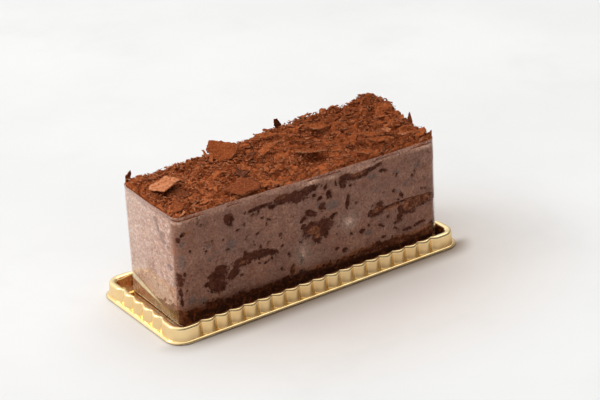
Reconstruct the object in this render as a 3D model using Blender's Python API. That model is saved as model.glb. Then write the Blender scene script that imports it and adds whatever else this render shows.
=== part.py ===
"""Chocolate layer cake: a bar-shaped slice in a clear film band on its own gold tray.

Frame: metres, +Z up, +X along the tray's long side. The origin is the centre of
the flat underside of the tray's floor, which is what the whole thing rests on.

Pieces, from the bottom up: the thin formed tray with its scalloped skirt, the
base sponge, the lower cream, the middle sponge, the upper cream, the heap of
chocolate flakes, and the film band that wraps the four sides of the cake.
"""

import math

import bmesh
import bpy
from mathutils import Vector, noise

MM = 0.001

# ---- tray -----------------------------------------------------------------
TRAY_L = 120.0 * MM  # outside of the lip, along X
TRAY_W = 51.2 * MM  # outside of the lip, along Y
TRAY_R = 6.7 * MM  # corner radius of the lip
SHEET = 0.6 * MM  # thickness of the formed sheet
RIM_H = 5.2 * MM  # top of the rim above the table
LIP_Z = 0.5 * MM  # underside of the lip above the table
LIP_W = 1.1 * MM  # width of the flat lip
FLUTE_DEPTH = 1.15 * MM  # how far a scallop's valley lies inside its crest
FLUTES_LONG = 19  # scallops on each long side
FLUTES_SHORT = 6  # scallops on each short side
FLUTE_STEPS = 6  # segments in one scallop
CORNER_STEPS = 6  # segments in one corner

# ---- cake and film ----------------------------------------------------------
CAKE_AT = (2.2 * MM, 1.1 * MM)  # the cake stands a little off the tray's centre
CAKE_YAW = math.radians(-1.6)  # and a little askew
FILM_L = 105.4 * MM
FILM_W = 36.9 * MM
FILM_R = 3.2 * MM
FILM_T = 0.3 * MM
FILM_H = 40.0 * MM
GAP = 0.3 * MM  # clearance between pieces that touch
FLOOR_TOP = SHEET
CAKE_L = FILM_L - 2 * (FILM_T + GAP)
CAKE_W = FILM_W - 2 * (FILM_T + GAP)
CAKE_R = FILM_R - (FILM_T + GAP)
BASE_TOP = 7.5 * MM  # top of the base sponge above the table
SEAM_Z = 16.6 * MM  # underside of the middle sponge
SEAM_THICK = 2.9 * MM
CREAM_TOP = 39.4 * MM
LAYER_STEP = 6.5 * MM  # grid of a layer's faces
HEAP_STEP = 2.5 * MM  # grid of the flake heap

MATERIALS = {
    "gold": ((0.83, 0.60, 0.26), 0.18, 1.0),
    "film": ((0.86, 0.84, 0.82), 0.10, 0.0),
    "sponge": ((0.105, 0.042, 0.021), 0.85, 0.0),
    "cream": ((0.165, 0.088, 0.062), 0.45, 0.0),
    "flakes": ((0.235, 0.085, 0.036), 0.80, 0.0),
}


def clear_scene():
    for obj in list(bpy.data.objects):
        bpy.data.objects.remove(obj, do_unlink=True)


def material(name):
    found = bpy.data.materials.get(name)
    if found:
        return found
    colour, rough, metallic = MATERIALS[name]
    mat = bpy.data.materials.new(name)
    mat.use_nodes = True
    shader = mat.node_tree.nodes["Principled BSDF"]
    shader.inputs["Base Color"].default_value = (*colour, 1.0)
    shader.inputs["Roughness"].default_value = rough
    shader.inputs["Metallic"].default_value = metallic
    mat.diffuse_color = (*colour, 1.0)
    return mat


def add_object(name, bm, mat, parent=None, smooth=True, angle=35.0):
    bmesh.ops.recalc_face_normals(bm, faces=bm.faces)
    if bm.calc_volume(signed=True) < 0:
        bmesh.ops.reverse_faces(bm, faces=bm.faces)
    mesh = bpy.data.meshes.new(name)
    bm.to_mesh(mesh)
    bm.free()
    if smooth:
        mesh.shade_smooth()
        mesh.set_sharp_from_angle(angle=math.radians(angle))
    mesh.materials.append(material(mat))
    obj = bpy.data.objects.new(name, mesh)
    bpy.context.scene.collection.objects.link(obj)
    if parent is not None:
        obj.parent = parent
    return obj


def bridge(bm, low, high):
    """Quads between two closed rings of the same number of points."""
    n = len(low)
    for i in range(n):
        j = (i + 1) % n
        bm.faces.new((low[i], low[j], high[j], high[i]))


# ---- tray -------------------------------------------------------------------
def scallop(u):
    """Share of the scallop's depth at u, 0 at its crest and 1 in the valleys."""
    return (2.0 * abs(u - 0.5)) ** 2


def tray_stations():
    """Once round the tray: (centre, outward direction, inward share, detail).

    detail 1 is a corner's point, 2 a valley between scallops, 3 the rest.
    """
    half_x, half_y = TRAY_L / 2 - TRAY_R, TRAY_W / 2 - TRAY_R
    sides = (
        ((-half_x, -half_y), (half_x, -half_y), (0, -1), FLUTES_LONG),
        ((half_x, -half_y), (half_x, half_y), (1, 0), FLUTES_SHORT),
        ((half_x, half_y), (-half_x, half_y), (0, 1), FLUTES_LONG),
        ((-half_x, half_y), (-half_x, -half_y), (-1, 0), FLUTES_SHORT),
    )
    stations = []
    for (ax, ay), (bx, by), (nx, ny), count in sides:
        steps = count * FLUTE_STEPS
        for k in range(steps + 1):
            t = k / steps
            # the outer halves of the end scallops run straight into the plain corners
            if 0 < t * count < 0.5 or 0 < count - t * count < 0.5:
                continue
            inward = scallop((t * count) % 1.0) if 0 < k < steps else 0.0
            detail = 1 if k in (0, steps) else 2 if k % FLUTE_STEPS == 0 else 3
            x, y = ax + (bx - ax) * t, ay + (by - ay) * t
            stations.append((x, y, nx, ny, inward, detail))
        start = math.atan2(ny, nx)
        for k in range(1, CORNER_STEPS):
            a = start + math.pi / 2 * k / CORNER_STEPS
            stations.append((bx, by, math.cos(a), math.sin(a), 0.0, 1))
    return stations


def tray_ring(bm, stations, inset, z, share, finest):
    """A ring `inset` inside the lip's outer edge, scalloped by that share of the depth.

    Returned as {station number: vertex}, with the stations up to the finest detail.
    """
    radius = TRAY_R - inset
    ring = {}
    for k, (cx, cy, nx, ny, inward, detail) in enumerate(stations):
        if detail <= finest:
            r = radius - share * FLUTE_DEPTH * inward
            ring[k] = bm.verts.new((cx + nx * r, cy + ny * r, z))
    return ring


def join_rings(bm, total, one, two):
    """Faces between two tray rings, one of which may have fewer points than the other."""
    few, many = (one, two) if len(one) <= len(two) else (two, one)
    kept = sorted(few)
    for a, b in zip(kept, kept[1:] + [kept[0] + total]):
        run = [many[k % total] for k in range(a, b + 1) if k % total in many]
        c0, c1 = few[a], few[b % total]
        if len(run) == 2:
            bm.faces.new((c0, c1, run[1], run[0]))
            continue
        middle = len(run) // 2
        for p, q in zip(run[:middle], run[1 : middle + 1]):
            bm.faces.new((c0, q, p))
        bm.faces.new((c0, c1, run[middle]))
        for p, q in zip(run[middle:], run[middle + 1 :]):
            bm.faces.new((c1, q, p))


def make_tray():
    """Profile of the sheet from the lip's edge in to the floor: upper side, then lower."""
    stations = tray_stations()
    lip = LIP_W
    upper = (
        (0.0, LIP_Z + SHEET, 0.0, 2),
        (lip, LIP_Z + SHEET, 0.35, 3),
        (lip + 0.45 * MM, RIM_H - 0.9 * MM, 1.0, 3),
        (lip + 1.00 * MM, RIM_H, 0.8, 3),
        (lip + 2.15 * MM, RIM_H, 0.0, 2),
        (lip + 2.75 * MM, RIM_H - 0.8 * MM, 0.0, 2),
        (lip + 3.10 * MM, FLOOR_TOP, 0.0, 1),
    )
    lower = (
        (0.0, LIP_Z, 0.0, 2),
        (lip + 0.60 * MM, LIP_Z, 0.35, 3),
        (lip + 1.05 * MM, RIM_H - 1.25 * MM, 0.7, 3),
        (lip + 1.40 * MM, RIM_H - SHEET, 0.3, 3),
        (lip + 1.95 * MM, RIM_H - SHEET, 0.0, 2),
        (lip + 2.20 * MM, RIM_H - 1.1 * MM, 0.0, 2),
        (lip + 2.50 * MM, 0.0, 0.0, 1),
    )
    bm = bmesh.new()
    top = [tray_ring(bm, stations, *row) for row in upper]
    under = [tray_ring(bm, stations, *row) for row in lower]
    for rings in (top, under):
        for one, two in zip(rings, rings[1:]):
            join_rings(bm, len(stations), one, two)
        bm.faces.new(list(rings[-1].values()))
    join_rings(bm, len(stations), under[0], top[0])
    return add_object("tray", bm, "gold", angle=30.0)


# ---- cake layers --------------------------------------------------------------
def rounded(u, v, half_x, half_y, radius):
    """The point of a rounded rectangle at u, v in -1..1, its corners' squares pressed round."""
    x, y = u * half_x, v * half_y
    dx, dy = abs(x) - (half_x - radius), abs(y) - (half_y - radius)
    if dx > 0 and dy > 0:
        scale = max(dx, dy) / math.hypot(dx, dy)
        x = math.copysign(half_x - radius + dx * scale, x)
        y = math.copysign(half_y - radius + dy * scale, y)
    return x, y


def spaced(half, radius, step):
    """Positions from -1 to 1: even on the straight, and two more over each corner."""
    inner = max(2, round(2 * (half - radius) / step))
    middle = [(-1 + 2 * i / inner) * (half - radius) / half for i in range(inner + 1)]
    ends = [(half - radius * (1 - k / 2)) / half for k in (1, 2)]
    return [-e for e in reversed(ends)] + middle + ends


def at(height, x, y):
    return height(x, y) if callable(height) else height


def make_layer(name, mat, parent, bottom, top, rows, step, inset=lambda x, y, s: 0.0):
    """A closed slab between two heights, each a plain number or a function of x and y.

    rows is the number of bands on its side, and inset(x, y, share) draws the
    side in at that share of its height.
    """
    half_x, half_y = CAKE_L / 2, CAKE_W / 2
    us, vs = spaced(half_x, CAKE_R, step), spaced(half_y, CAKE_R, step)
    nu, nv = len(us), len(vs)
    edge = (
        [(i, 0) for i in range(nu - 1)]
        + [(nu - 1, j) for j in range(nv - 1)]
        + [(i, nv - 1) for i in range(nu - 1, 0, -1)]
        + [(0, j) for j in range(nv - 1, 0, -1)]
    )
    on_edge = {place: k for k, place in enumerate(edge)}
    bm = bmesh.new()
    rings = []
    for r in range(rows + 1):
        share = r / rows
        ring = []
        for i, j in edge:
            x, y = rounded(us[i], vs[j], half_x, half_y, CAKE_R)
            pull = inset(x, y, share)
            if pull:
                x, y = rounded(us[i], vs[j], half_x - pull, half_y - pull, CAKE_R)
            z0, z1 = at(bottom, x, y), at(top, x, y)
            ring.append(bm.verts.new((x, y, z0 + (z1 - z0) * share)))
        rings.append(ring)
    for a, b in zip(rings, rings[1:]):
        bridge(bm, a, b)
    for ring, height in ((rings[0], bottom), (rings[-1], top)):
        if not callable(height):
            bm.faces.new(ring)
            continue
        grid = {}
        for i in range(nu):
            for j in range(nv):
                if (i, j) in on_edge:
                    grid[i, j] = ring[on_edge[i, j]]
                else:
                    x, y = rounded(us[i], vs[j], half_x, half_y, CAKE_R)
                    grid[i, j] = bm.verts.new((x, y, height(x, y)))
        for i in range(nu - 1):
            for j in range(nv - 1):
                bm.faces.new(
                    (grid[i, j], grid[i + 1, j], grid[i + 1, j + 1], grid[i, j + 1])
                )
    return add_object(name, bm, mat, parent)


def wave(x, y, size, seed):
    """Smooth unevenness, about -1 to 1, with features of that size."""
    return noise.noise(Vector((x / size, y / size, seed)))


def base_top(x, y):
    """The base sponge is a little thicker at its right end."""
    return BASE_TOP + 0.012 * x + 0.5 * MM * wave(x, y, 22 * MM, 1.7)


def seam_bottom(x, y):
    """The middle sponge lies almost level and rises slightly to the right."""
    return SEAM_Z + 0.018 * x + 0.35 * MM * wave(x, y, 16 * MM, 4.2)


def seam_top(x, y):
    return seam_bottom(x, y) + SEAM_THICK + 0.3 * MM * wave(x, y, 12 * MM, 8.1)


def eased(t):
    t = min(1.0, max(0.0, t))
    return t * t * (3 - 2 * t)


def heap_top(x, y):
    """Upper outline of the flake heap.

    It climbs from the front edge to a ridge near the back, which is low over the
    left third and high over the right half, and drops off steeply behind it.
    """
    xm, ym = x / MM, y / MM
    front = 41.5
    ridge = 42.7 + 4.6 * eased((xm + 28) / 50) - 1.0 * eased((xm - 44) / 8)
    ridge += 1.2 * math.exp(-(((xm + 15) / 5) ** 2))
    if ym < 14.5:
        tall = front + (ridge - front) * eased(0.5 * (ym + 17.5) / 32) ** 0.8 * 1.74
    else:
        tall = ridge - (ridge - 42.0) * ((ym - 14.5) / 3.35) ** 2
    # upright shards of chocolate that stand proud of the heap
    for sx, sy, rise, wide in (
        (-16.5, 14.8, 2.6, 3.6),
        (8.4, 15.0, 2.6, 2.4),
        (-50.0, 14.5, 2.2, 2.2),
        (50.5, -3.0, 2.3, 2.2),
        (49.5, -15.0, 1.6, 2.6),
    ):
        tall += rise * math.exp(-(((xm - sx) / wide) ** 2) - ((ym - sy) / wide) ** 2)
    tall += 0.7 * wave(x, y, 7 * MM, 2.9) + 0.5 * wave(x, y, 3.6 * MM, 5.5)
    # it thins out towards the film at the front and the ends
    near = min(CAKE_L / 2 / MM - abs(xm), CAKE_W / 2 / MM + ym)
    tall -= 0.9 * max(0.0, 1 - near / 2.6) ** 1.5
    return max(tall * MM, CREAM_TOP + GAP + 0.6 * MM)


def make_cake(parent):
    def belly(depth):
        return lambda x, y, s: depth * math.sin(math.pi * s)

    make_layer(
        "sponge_base", "sponge", parent,
        FLOOR_TOP + GAP, base_top, 2, LAYER_STEP, belly(0.15 * MM),
    )
    make_layer(
        "cream_lower", "cream", parent,
        lambda x, y: base_top(x, y) + GAP, lambda x, y: seam_bottom(x, y) - GAP,
        2, LAYER_STEP, belly(0.2 * MM),
    )
    make_layer(
        "sponge_middle", "sponge", parent, seam_bottom, seam_top, 1, LAYER_STEP,
    )
    make_layer(
        "cream_upper", "cream", parent,
        lambda x, y: seam_top(x, y) + GAP, CREAM_TOP, 4, LAYER_STEP, belly(0.15 * MM),
    )
    make_layer(
        "flake_topping", "flakes", parent, CREAM_TOP + GAP, heap_top, 1, HEAP_STEP,
    )


def make_film(parent):
    """The band of clear film: one wall round the cake, open above and below."""
    z0 = FLOOR_TOP + GAP
    bm = bmesh.new()

    def ring(inset, z):
        radius = FILM_R - inset
        points = []
        for sx, sy, start in ((1, -1, -90), (1, 1, 0), (-1, 1, 90), (-1, -1, 180)):
            cx, cy = sx * (FILM_L / 2 - FILM_R), sy * (FILM_W / 2 - FILM_R)
            for k in range(7):
                a = math.radians(start + 15 * k)
                points.append(
                    bm.verts.new((cx + radius * math.cos(a), cy + radius * math.sin(a), z))
                )
        return points

    outer = [ring(0.0, z0), ring(0.0, z0 + FILM_H)]
    inner = [ring(FILM_T, z0), ring(FILM_T, z0 + FILM_H)]
    bridge(bm, outer[0], outer[1])
    bridge(bm, inner[1], inner[0])
    bridge(bm, outer[1], inner[1])
    bridge(bm, inner[0], outer[0])
    return add_object("film_wrap", bm, "film", parent)


def main():
    clear_scene()
    bpy.context.scene.unit_settings.scale_length = 1.0
    make_tray()
    stand = bpy.data.objects.new("cake_stand", None)
    stand.location = (CAKE_AT[0], CAKE_AT[1], 0.0)
    stand.rotation_euler = (0.0, 0.0, CAKE_YAW)
    bpy.context.scene.collection.objects.link(stand)
    make_cake(stand)
    make_film(stand)


main()
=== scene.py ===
"""Looks of the chocolate cake: gold tray, clear film, cream and sponge, flakes.

The cake's own pieces are worked out in its own frame, in millimetres, and then
placed on the tray by placed(): the cake stands a little askew and off centre.
"""

import math

import bpy
import numpy as np
from mathutils import Matrix, Vector


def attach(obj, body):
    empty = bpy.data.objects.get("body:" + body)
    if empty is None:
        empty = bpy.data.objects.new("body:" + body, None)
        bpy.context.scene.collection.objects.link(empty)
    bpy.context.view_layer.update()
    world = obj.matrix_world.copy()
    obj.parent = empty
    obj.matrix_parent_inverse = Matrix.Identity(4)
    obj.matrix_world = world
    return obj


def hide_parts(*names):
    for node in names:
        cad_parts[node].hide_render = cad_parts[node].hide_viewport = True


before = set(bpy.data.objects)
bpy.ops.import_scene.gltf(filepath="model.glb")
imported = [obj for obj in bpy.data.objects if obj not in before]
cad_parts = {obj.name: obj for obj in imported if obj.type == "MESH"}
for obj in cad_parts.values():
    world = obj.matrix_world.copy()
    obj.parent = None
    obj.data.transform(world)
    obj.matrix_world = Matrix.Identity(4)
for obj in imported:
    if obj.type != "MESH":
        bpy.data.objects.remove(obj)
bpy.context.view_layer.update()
scene = bpy.context.scene
MM = 0.001

# sizes in millimetres, as in the CAD model
TRAY_L, TRAY_W, TRAY_R = 120.0, 51.2, 6.7
FLUTES_LONG, FLUTES_SHORT = 19, 6
RIM_H = 5.2
CAKE_AT, CAKE_YAW = (2.2, 1.1), math.radians(-1.6)
FILM_L, FILM_W, FILM_R = 105.4, 36.9, 3.2
FILM_T = 0.14
FILM_Z0, FILM_Z1 = 0.85, 40.85
BASE_TOP, SEAM_Z, SEAM_THICK, CREAM_TOP = 7.5, 16.6, 2.9, 39.4


# ---------------------------------------------------------------- noise
def _hash(ix, iy, iz, seed):
    h = (
        ix.astype(np.int64) * 374761393
        + iy.astype(np.int64) * 668265263
        + iz.astype(np.int64) * 1440662683
        + seed * 974634777
    ) & 0xFFFFFFFF
    h = ((h ^ (h >> 13)) * 1274126177) & 0xFFFFFFFF
    h = ((h ^ (h >> 16)) * 2246822519) & 0xFFFFFFFF
    return ((h ^ (h >> 15)) & 0xFFFFFF) / float(0xFFFFFF)


def vnoise(p, size, seed):
    """Smooth noise from -1 to 1 at points p (n, 3), with lumps of that size."""
    q = np.asarray(p, float) / size
    i = np.floor(q).astype(np.int64)
    f = q - i
    f = f * f * f * (f * (f * 6 - 15) + 10)
    out = 0.0
    for dx in (0, 1):
        wx = f[..., 0] if dx else 1 - f[..., 0]
        for dy in (0, 1):
            wy = f[..., 1] if dy else 1 - f[..., 1]
            for dz in (0, 1):
                wz = f[..., 2] if dz else 1 - f[..., 2]
                out = out + wx * wy * wz * _hash(
                    i[..., 0] + dx, i[..., 1] + dy, i[..., 2] + dz, seed
                )
    return 2 * out - 1


def fbm(p, size, seed, octaves=4, gain=0.5):
    total, amp, norm = 0.0, 1.0, 0.0
    for k in range(octaves):
        total = total + amp * vnoise(p, size / 2**k, seed + 17 * k)
        norm += amp
        amp *= gain
    return total / norm


def smooth(a, b, x):
    t = np.clip((np.asarray(x, float) - a) / (b - a), 0, 1)
    return t * t * (3 - 2 * t)


# ---------------------------------------------------------------- meshes
def placed(p):
    """From the cake's own frame in mm to the row frame in metres."""
    p = np.asarray(p, float)
    c, s = math.cos(CAKE_YAW), math.sin(CAKE_YAW)
    out = np.empty_like(p)
    out[:, 0] = (CAKE_AT[0] + c * p[:, 0] - s * p[:, 1]) * MM
    out[:, 1] = (CAKE_AT[1] + s * p[:, 0] + c * p[:, 1]) * MM
    out[:, 2] = p[:, 2] * MM
    return out


def make_piece(name, verts, faces, material, replaces=(), colours=(), shade=True):
    """A piece from points in metres and a list of face arrays, riding on the root."""
    mesh = bpy.data.meshes.new(name)
    groups = [np.asarray(f, np.int64) for f in faces if len(f)]
    loops = np.concatenate([g.ravel() for g in groups])
    sizes = np.concatenate([np.full(len(g), g.shape[1], np.int64) for g in groups])
    mesh.vertices.add(len(verts))
    mesh.vertices.foreach_set("co", np.asarray(verts, np.float32).ravel())
    mesh.loops.add(len(loops))
    mesh.loops.foreach_set("vertex_index", loops.astype(np.int32))
    mesh.polygons.add(len(sizes))
    starts = np.concatenate([[0], np.cumsum(sizes)[:-1]])
    mesh.polygons.foreach_set("loop_start", starts.astype(np.int32))
    mesh.update(calc_edges=True)
    for label, values in dict(colours).items():
        layer = mesh.attributes.new(label, "FLOAT_COLOR", "POINT")
        full = np.ones((len(verts), 4), np.float32)
        full[:, : values.shape[1]] = values
        layer.data.foreach_set("color", full.ravel())
    mesh.validate()
    if shade:
        mesh.shade_smooth()
    mesh.materials.append(material)
    obj = bpy.data.objects.new(name, mesh)
    scene.collection.objects.link(obj)
    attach(obj, "root")
    if replaces:
        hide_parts(*replaces)
    return obj


def grid_quads(rows, cols, closed=True):
    """Quads of a rows x cols grid of points, wrapped along the columns when closed."""
    r = np.arange(rows - 1)[:, None]
    c = np.arange(cols if closed else cols - 1)[None, :]
    d = (c + 1) % cols
    a, b = r * cols + c, r * cols + d
    return np.stack([a, b, b + cols, a + cols], -1).reshape(-1, 4)


# ---------------------------------------------------------------- shader helpers
class Nodes:
    """Short names for building a material's nodes."""

    def __init__(self, name):
        self.mat = bpy.data.materials.new(name)
        self.mat.use_nodes = True
        self.tree = self.mat.node_tree
        self.tree.nodes.clear()
        self.out = self.tree.nodes.new("ShaderNodeOutputMaterial")

    def add(self, kind, **inputs):
        node = self.tree.nodes.new(kind)
        for key, value in inputs.items():
            if key.startswith("_"):
                setattr(node, key[1:], value)
        for key, value in inputs.items():
            if not key.startswith("_"):
                self.put(node.inputs[key.replace("__", " ")], value)
        return node

    def put(self, socket, value):
        if isinstance(value, bpy.types.NodeSocket):
            self.tree.links.new(value, socket)
        elif isinstance(value, bpy.types.Node):
            self.tree.links.new(value.outputs[0], socket)
        else:
            socket.default_value = value

    def math(self, op, a, b=0.0, clamp=False):
        node = self.tree.nodes.new("ShaderNodeMath")
        node.operation, node.use_clamp = op, clamp
        self.put(node.inputs[0], a)
        self.put(node.inputs[1], b)
        return node.outputs[0]

    def mix(self, fac, a, b, blend="MIX"):
        node = self.tree.nodes.new("ShaderNodeMix")
        node.data_type, node.blend_type, node.clamp_result = "RGBA", blend, False
        self.put(node.inputs[0], fac)
        self.put(node.inputs[6], a)
        self.put(node.inputs[7], b)
        return node.outputs[2]

    def ramp(self, value, lo, hi, to_lo=0.0, to_hi=1.0):
        node = self.tree.nodes.new("ShaderNodeMapRange")
        node.interpolation_type = "SMOOTHSTEP"
        self.put(node.inputs[0], value)
        for k, v in enumerate((lo, hi, to_lo, to_hi)):
            self.put(node.inputs[k + 1], v)
        return node.outputs[0]

    def noise(self, size_mm, detail=3.0, rough=0.55, stretch=None, seed=0.0):
        """Noise with lumps of that size, in the object's own space."""
        space = self.tree.nodes.new("ShaderNodeTexCoord").outputs["Object"]
        move = self.tree.nodes.new("ShaderNodeMapping")
        move.inputs["Location"].default_value = (seed, seed * 0.7, seed * 1.3)
        if stretch:
            move.inputs["Scale"].default_value = stretch
        self.tree.links.new(space, move.inputs[0])
        node = self.tree.nodes.new("ShaderNodeTexNoise")
        node.inputs["Scale"].default_value = 1000.0 / size_mm
        node.inputs["Detail"].default_value = detail
        node.inputs["Roughness"].default_value = rough
        self.tree.links.new(move.outputs[0], node.inputs["Vector"])
        return node.outputs[0]

    def cells(self, size_mm, seed=0.0, feature="F1", out="Distance"):
        space = self.tree.nodes.new("ShaderNodeTexCoord").outputs["Object"]
        move = self.tree.nodes.new("ShaderNodeMapping")
        move.inputs["Location"].default_value = (seed, seed * 0.7, seed * 1.3)
        self.tree.links.new(space, move.inputs[0])
        node = self.tree.nodes.new("ShaderNodeTexVoronoi")
        node.feature = feature
        node.inputs["Scale"].default_value = 1000.0 / size_mm
        self.tree.links.new(move.outputs[0], node.inputs["Vector"])
        return node.outputs[out]

    def bump(self, height, distance_mm, strength=1.0, normal=None):
        node = self.tree.nodes.new("ShaderNodeBump")
        self.put(node.inputs["Height"], height)
        node.inputs["Distance"].default_value = distance_mm * MM
        node.inputs["Strength"].default_value = strength
        if normal is not None:
            self.put(node.inputs["Normal"], normal)
        return node.outputs[0]

    def place(self, axis):
        """One coordinate of the point, in the object's own space, in metres."""
        space = self.tree.nodes.new("ShaderNodeTexCoord")
        split = self.tree.nodes.new("ShaderNodeSeparateXYZ")
        self.tree.links.new(space.outputs["Object"], split.inputs[0])
        return split.outputs[axis]

    def attribute(self, name):
        node = self.tree.nodes.new("ShaderNodeAttribute")
        node.attribute_name = name
        split = self.tree.nodes.new("ShaderNodeSeparateColor")
        self.tree.links.new(node.outputs["Color"], split.inputs[0])
        return split.outputs[0], split.outputs[1], split.outputs[2], node.outputs["Alpha"]

    def finish(self, shader):
        self.tree.links.new(shader, self.out.inputs[0])
        return self.mat


def rgb(r, g, b):
    return (r, g, b, 1.0)


# ---------------------------------------------------------------- materials
def gold_material():
    n = Nodes("gold_foil")
    broad = n.noise(9.0, 2.0, 0.5)
    fine = n.noise(0.9, 3.0, 0.6, seed=3.1)
    colour = n.mix(n.ramp(broad, 0.3, 0.7), rgb(0.905, 0.648, 0.315), rgb(0.940, 0.722, 0.385))
    rough = n.ramp(fine, 0.25, 0.75, 0.08, 0.15)
    wavy = n.bump(n.noise(3.2, 2.0, 0.5, seed=8.0), 0.10, 0.35)
    normal = n.bump(fine, 0.012, 0.5, wavy)
    p = n.add("ShaderNodeBsdfPrincipled", Roughness=rough, Normal=normal)
    n.put(p.inputs["Base Color"], colour)
    p.inputs["Metallic"].default_value = 1.0
    return n.finish(p.outputs[0])


def side_material(name, sponge):
    """The cut side behind the film. The colour attribute holds, per point:
    void (cake stands back from the film), blue-grey spots, pale haze (on the left end and at the near right corner
    partly painted light), crumb."""
    n = Nodes(name)
    void, blue, pale, crumb = n.attribute("side")
    ragged = n.math("SUBTRACT", n.noise(0.95, 5.0, 0.78), 0.5)
    gap = n.ramp(n.math("ADD", void, n.math("MULTIPLY", ragged, 1.3)), 0.46, 0.54)

    # cream pressed on the film: mottled, with dark and light flecks
    broad = n.noise(11.0, 2.0, 0.5, seed=1.0)
    mid = n.noise(2.4, 4.0, 0.6, seed=2.0)
    fine = n.noise(0.7, 3.0, 0.6, seed=5.0)
    skin = n.mix(n.ramp(broad, 0.35, 0.65), rgb(*SKIN_A), rgb(*SKIN_B))
    skin = n.mix(n.ramp(mid, 0.50, 0.70, 0.0, 0.55), skin, rgb(*SKIN_DARK))
    skin = n.mix(n.ramp(mid, 0.46, 0.30, 0.0, 0.35), skin, rgb(*SKIN_LIGHT))
    spots = n.math("ADD", blue, n.math("MULTIPLY", n.math("SUBTRACT", n.noise(1.3, 4.0, 0.65, seed=15.0), 0.5), 1.1))
    skin = n.mix(n.math("MULTIPLY", n.ramp(spots, 0.32, 0.80), 0.72), skin, rgb(*BLUE))
    streak = n.noise(0.9, 4.0, 0.7, stretch=(1.0, 1.0, 0.75), seed=8.0)
    chalk = n.math("ADD", pale, n.math("MULTIPLY", n.math("SUBTRACT", streak, 0.5), 0.95))
    skin = n.mix(n.ramp(chalk, 0.10, 0.95), skin, rgb(*PALE))
    skin = n.mix(n.ramp(chalk, 0.70, 1.15, 0.0, 0.7), skin, rgb(*CHALK))
    frost = n.noise(1.0, 5.0, 0.75, stretch=(1.0, 0.52, 1.0), seed=23.0)
    there = n.ramp(pale, 0.42, 0.62)
    skin = n.mix(n.math("MULTIPLY", there, n.ramp(frost, 0.50, 0.66, 0.0, 0.75)), skin, rgb(0.86, 0.76, 0.70))
    skin = n.mix(n.math("MULTIPLY", there, n.ramp(frost, 0.49, 0.36, 0.0, 0.80)), skin, rgb(0.44, 0.23, 0.155))
    warm = n.mix(n.ramp(fine, 0.32, 0.68), rgb(1.20, 1.24, 1.26), rgb(0.80, 0.75, 0.71))
    skin = n.mix(1.0, skin, warm, "MULTIPLY")
    pits = n.ramp(n.noise(1.1, 4.0, 0.7, seed=13.0), 0.62, 0.68, 0.0, 0.6)
    skin = n.mix(pits, skin, n.mix(0.72, skin, rgb(*SKIN_DARK)))
    # painted shade: away from the left end the skin darkens towards its foot, low down behind the tray's rim
    foot = n.math("ADD", n.math("MULTIPLY", n.place(2), 1000.0), n.math("MULTIPLY", n.math("SUBTRACT", n.noise(1.2, 4.0, 0.75, seed=19.0), 0.5), 7.0))
    skin = n.mix(n.math("MULTIPLY", n.ramp(foot, 8.8, 5.4, 0.0, 0.78), n.ramp(n.place(0), -0.0493, -0.0465)), skin, n.mix(0.5, rgb(*SKIN_DARK), rgb(*WET_B)))
    # painted light: low on the left end the skin is lightened where the tray's rim shades it, standing in for the glow
    # the gold throws up
    lift = n.math("MULTIPLY", n.ramp(foot, 15.0, 9.0, 0.0, 0.42), n.ramp(n.place(0), -0.0465, -0.0493))
    skin = n.mix(n.math("MULTIPLY", lift, there), skin, rgb(0.97, 0.76, 0.56))
    # crumb pressed on the film
    crumbly = n.noise(0.75, 4.0, 0.7, seed=17.0)
    pressed = n.math("ADD", crumb, n.math("MULTIPLY", n.math("SUBTRACT", crumbly, 0.5), 1.5))
    skin = n.mix(n.ramp(pressed, 0.42, 0.62, 0.0, 0.85), skin, n.mix(n.ramp(fine, 0.35, 0.65), rgb(*PRESS_A), rgb(*PRESS_B)))

    # cake that stands back from the film: moist cream, or open crumb
    wet = n.mix(n.ramp(n.noise(1.3, 4.0, 0.65, seed=7.0), 0.3, 0.7), rgb(*WET_A), rgb(*WET_B))
    lumps = n.cells(1.5, seed=4.0)
    grain = n.noise(1.3, 4.0, 0.65, seed=9.0)
    open_ = n.mix(n.ramp(grain, 0.38, 0.66), rgb(*CRUMB_DARK), rgb(*CRUMB))
    open_ = n.mix(n.ramp(lumps, 0.36, 0.66, 0.0, 0.55), open_, rgb(*CRUMB_DARK))
    patch = n.math("ADD", crumb, n.math("MULTIPLY", n.math("SUBTRACT", n.noise(1.7, 4.0, 0.6, seed=6.0), 0.5), 1.1))
    inner = n.mix(n.ramp(patch, 0.30, 0.60), wet, open_)
    # painted shade: the cake in the gaps is darkest low down, behind the tray's rim, less so on the left end
    depth = n.math("MULTIPLY", n.place(2), 1000.0)
    rim_shade = n.ramp(n.math("ADD", depth, n.math("MULTIPLY", n.math("SUBTRACT", mid, 0.5), 3.0)), 5.6, 3.6, 0.0, 0.8)
    rim_shade = n.math("MULTIPLY", rim_shade, n.ramp(n.place(0), -0.0493, -0.0465, 0.25, 1.0))
    inner = n.mix(rim_shade, inner, rgb(0.030, 0.010, 0.006))
    glimmer = n.ramp(n.noise(1.9, 5.0, 0.78, seed=25.0), 0.51, 0.64, 0.0, 0.85)
    inner = n.mix(n.math("MULTIPLY", glimmer, n.ramp(depth, 9.0, 7.0)), inner, rgb(0.235, 0.070, 0.026))
    colour = n.mix(gap, skin, inner)
    relief = n.math("ADD", n.math("MULTIPLY", grain, gap), n.math("MULTIPLY", fine, 0.15))
    p = n.add("ShaderNodeBsdfPrincipled", Roughness=n.ramp(gap, 0.0, 1.0, 0.6, 0.85), Normal=n.bump(relief, 0.35, 0.7))
    n.put(p.inputs["Base Color"], colour)
    p.inputs["Specular IOR Level"].default_value = 0.08
    return n.finish(p.outputs[0])


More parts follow.
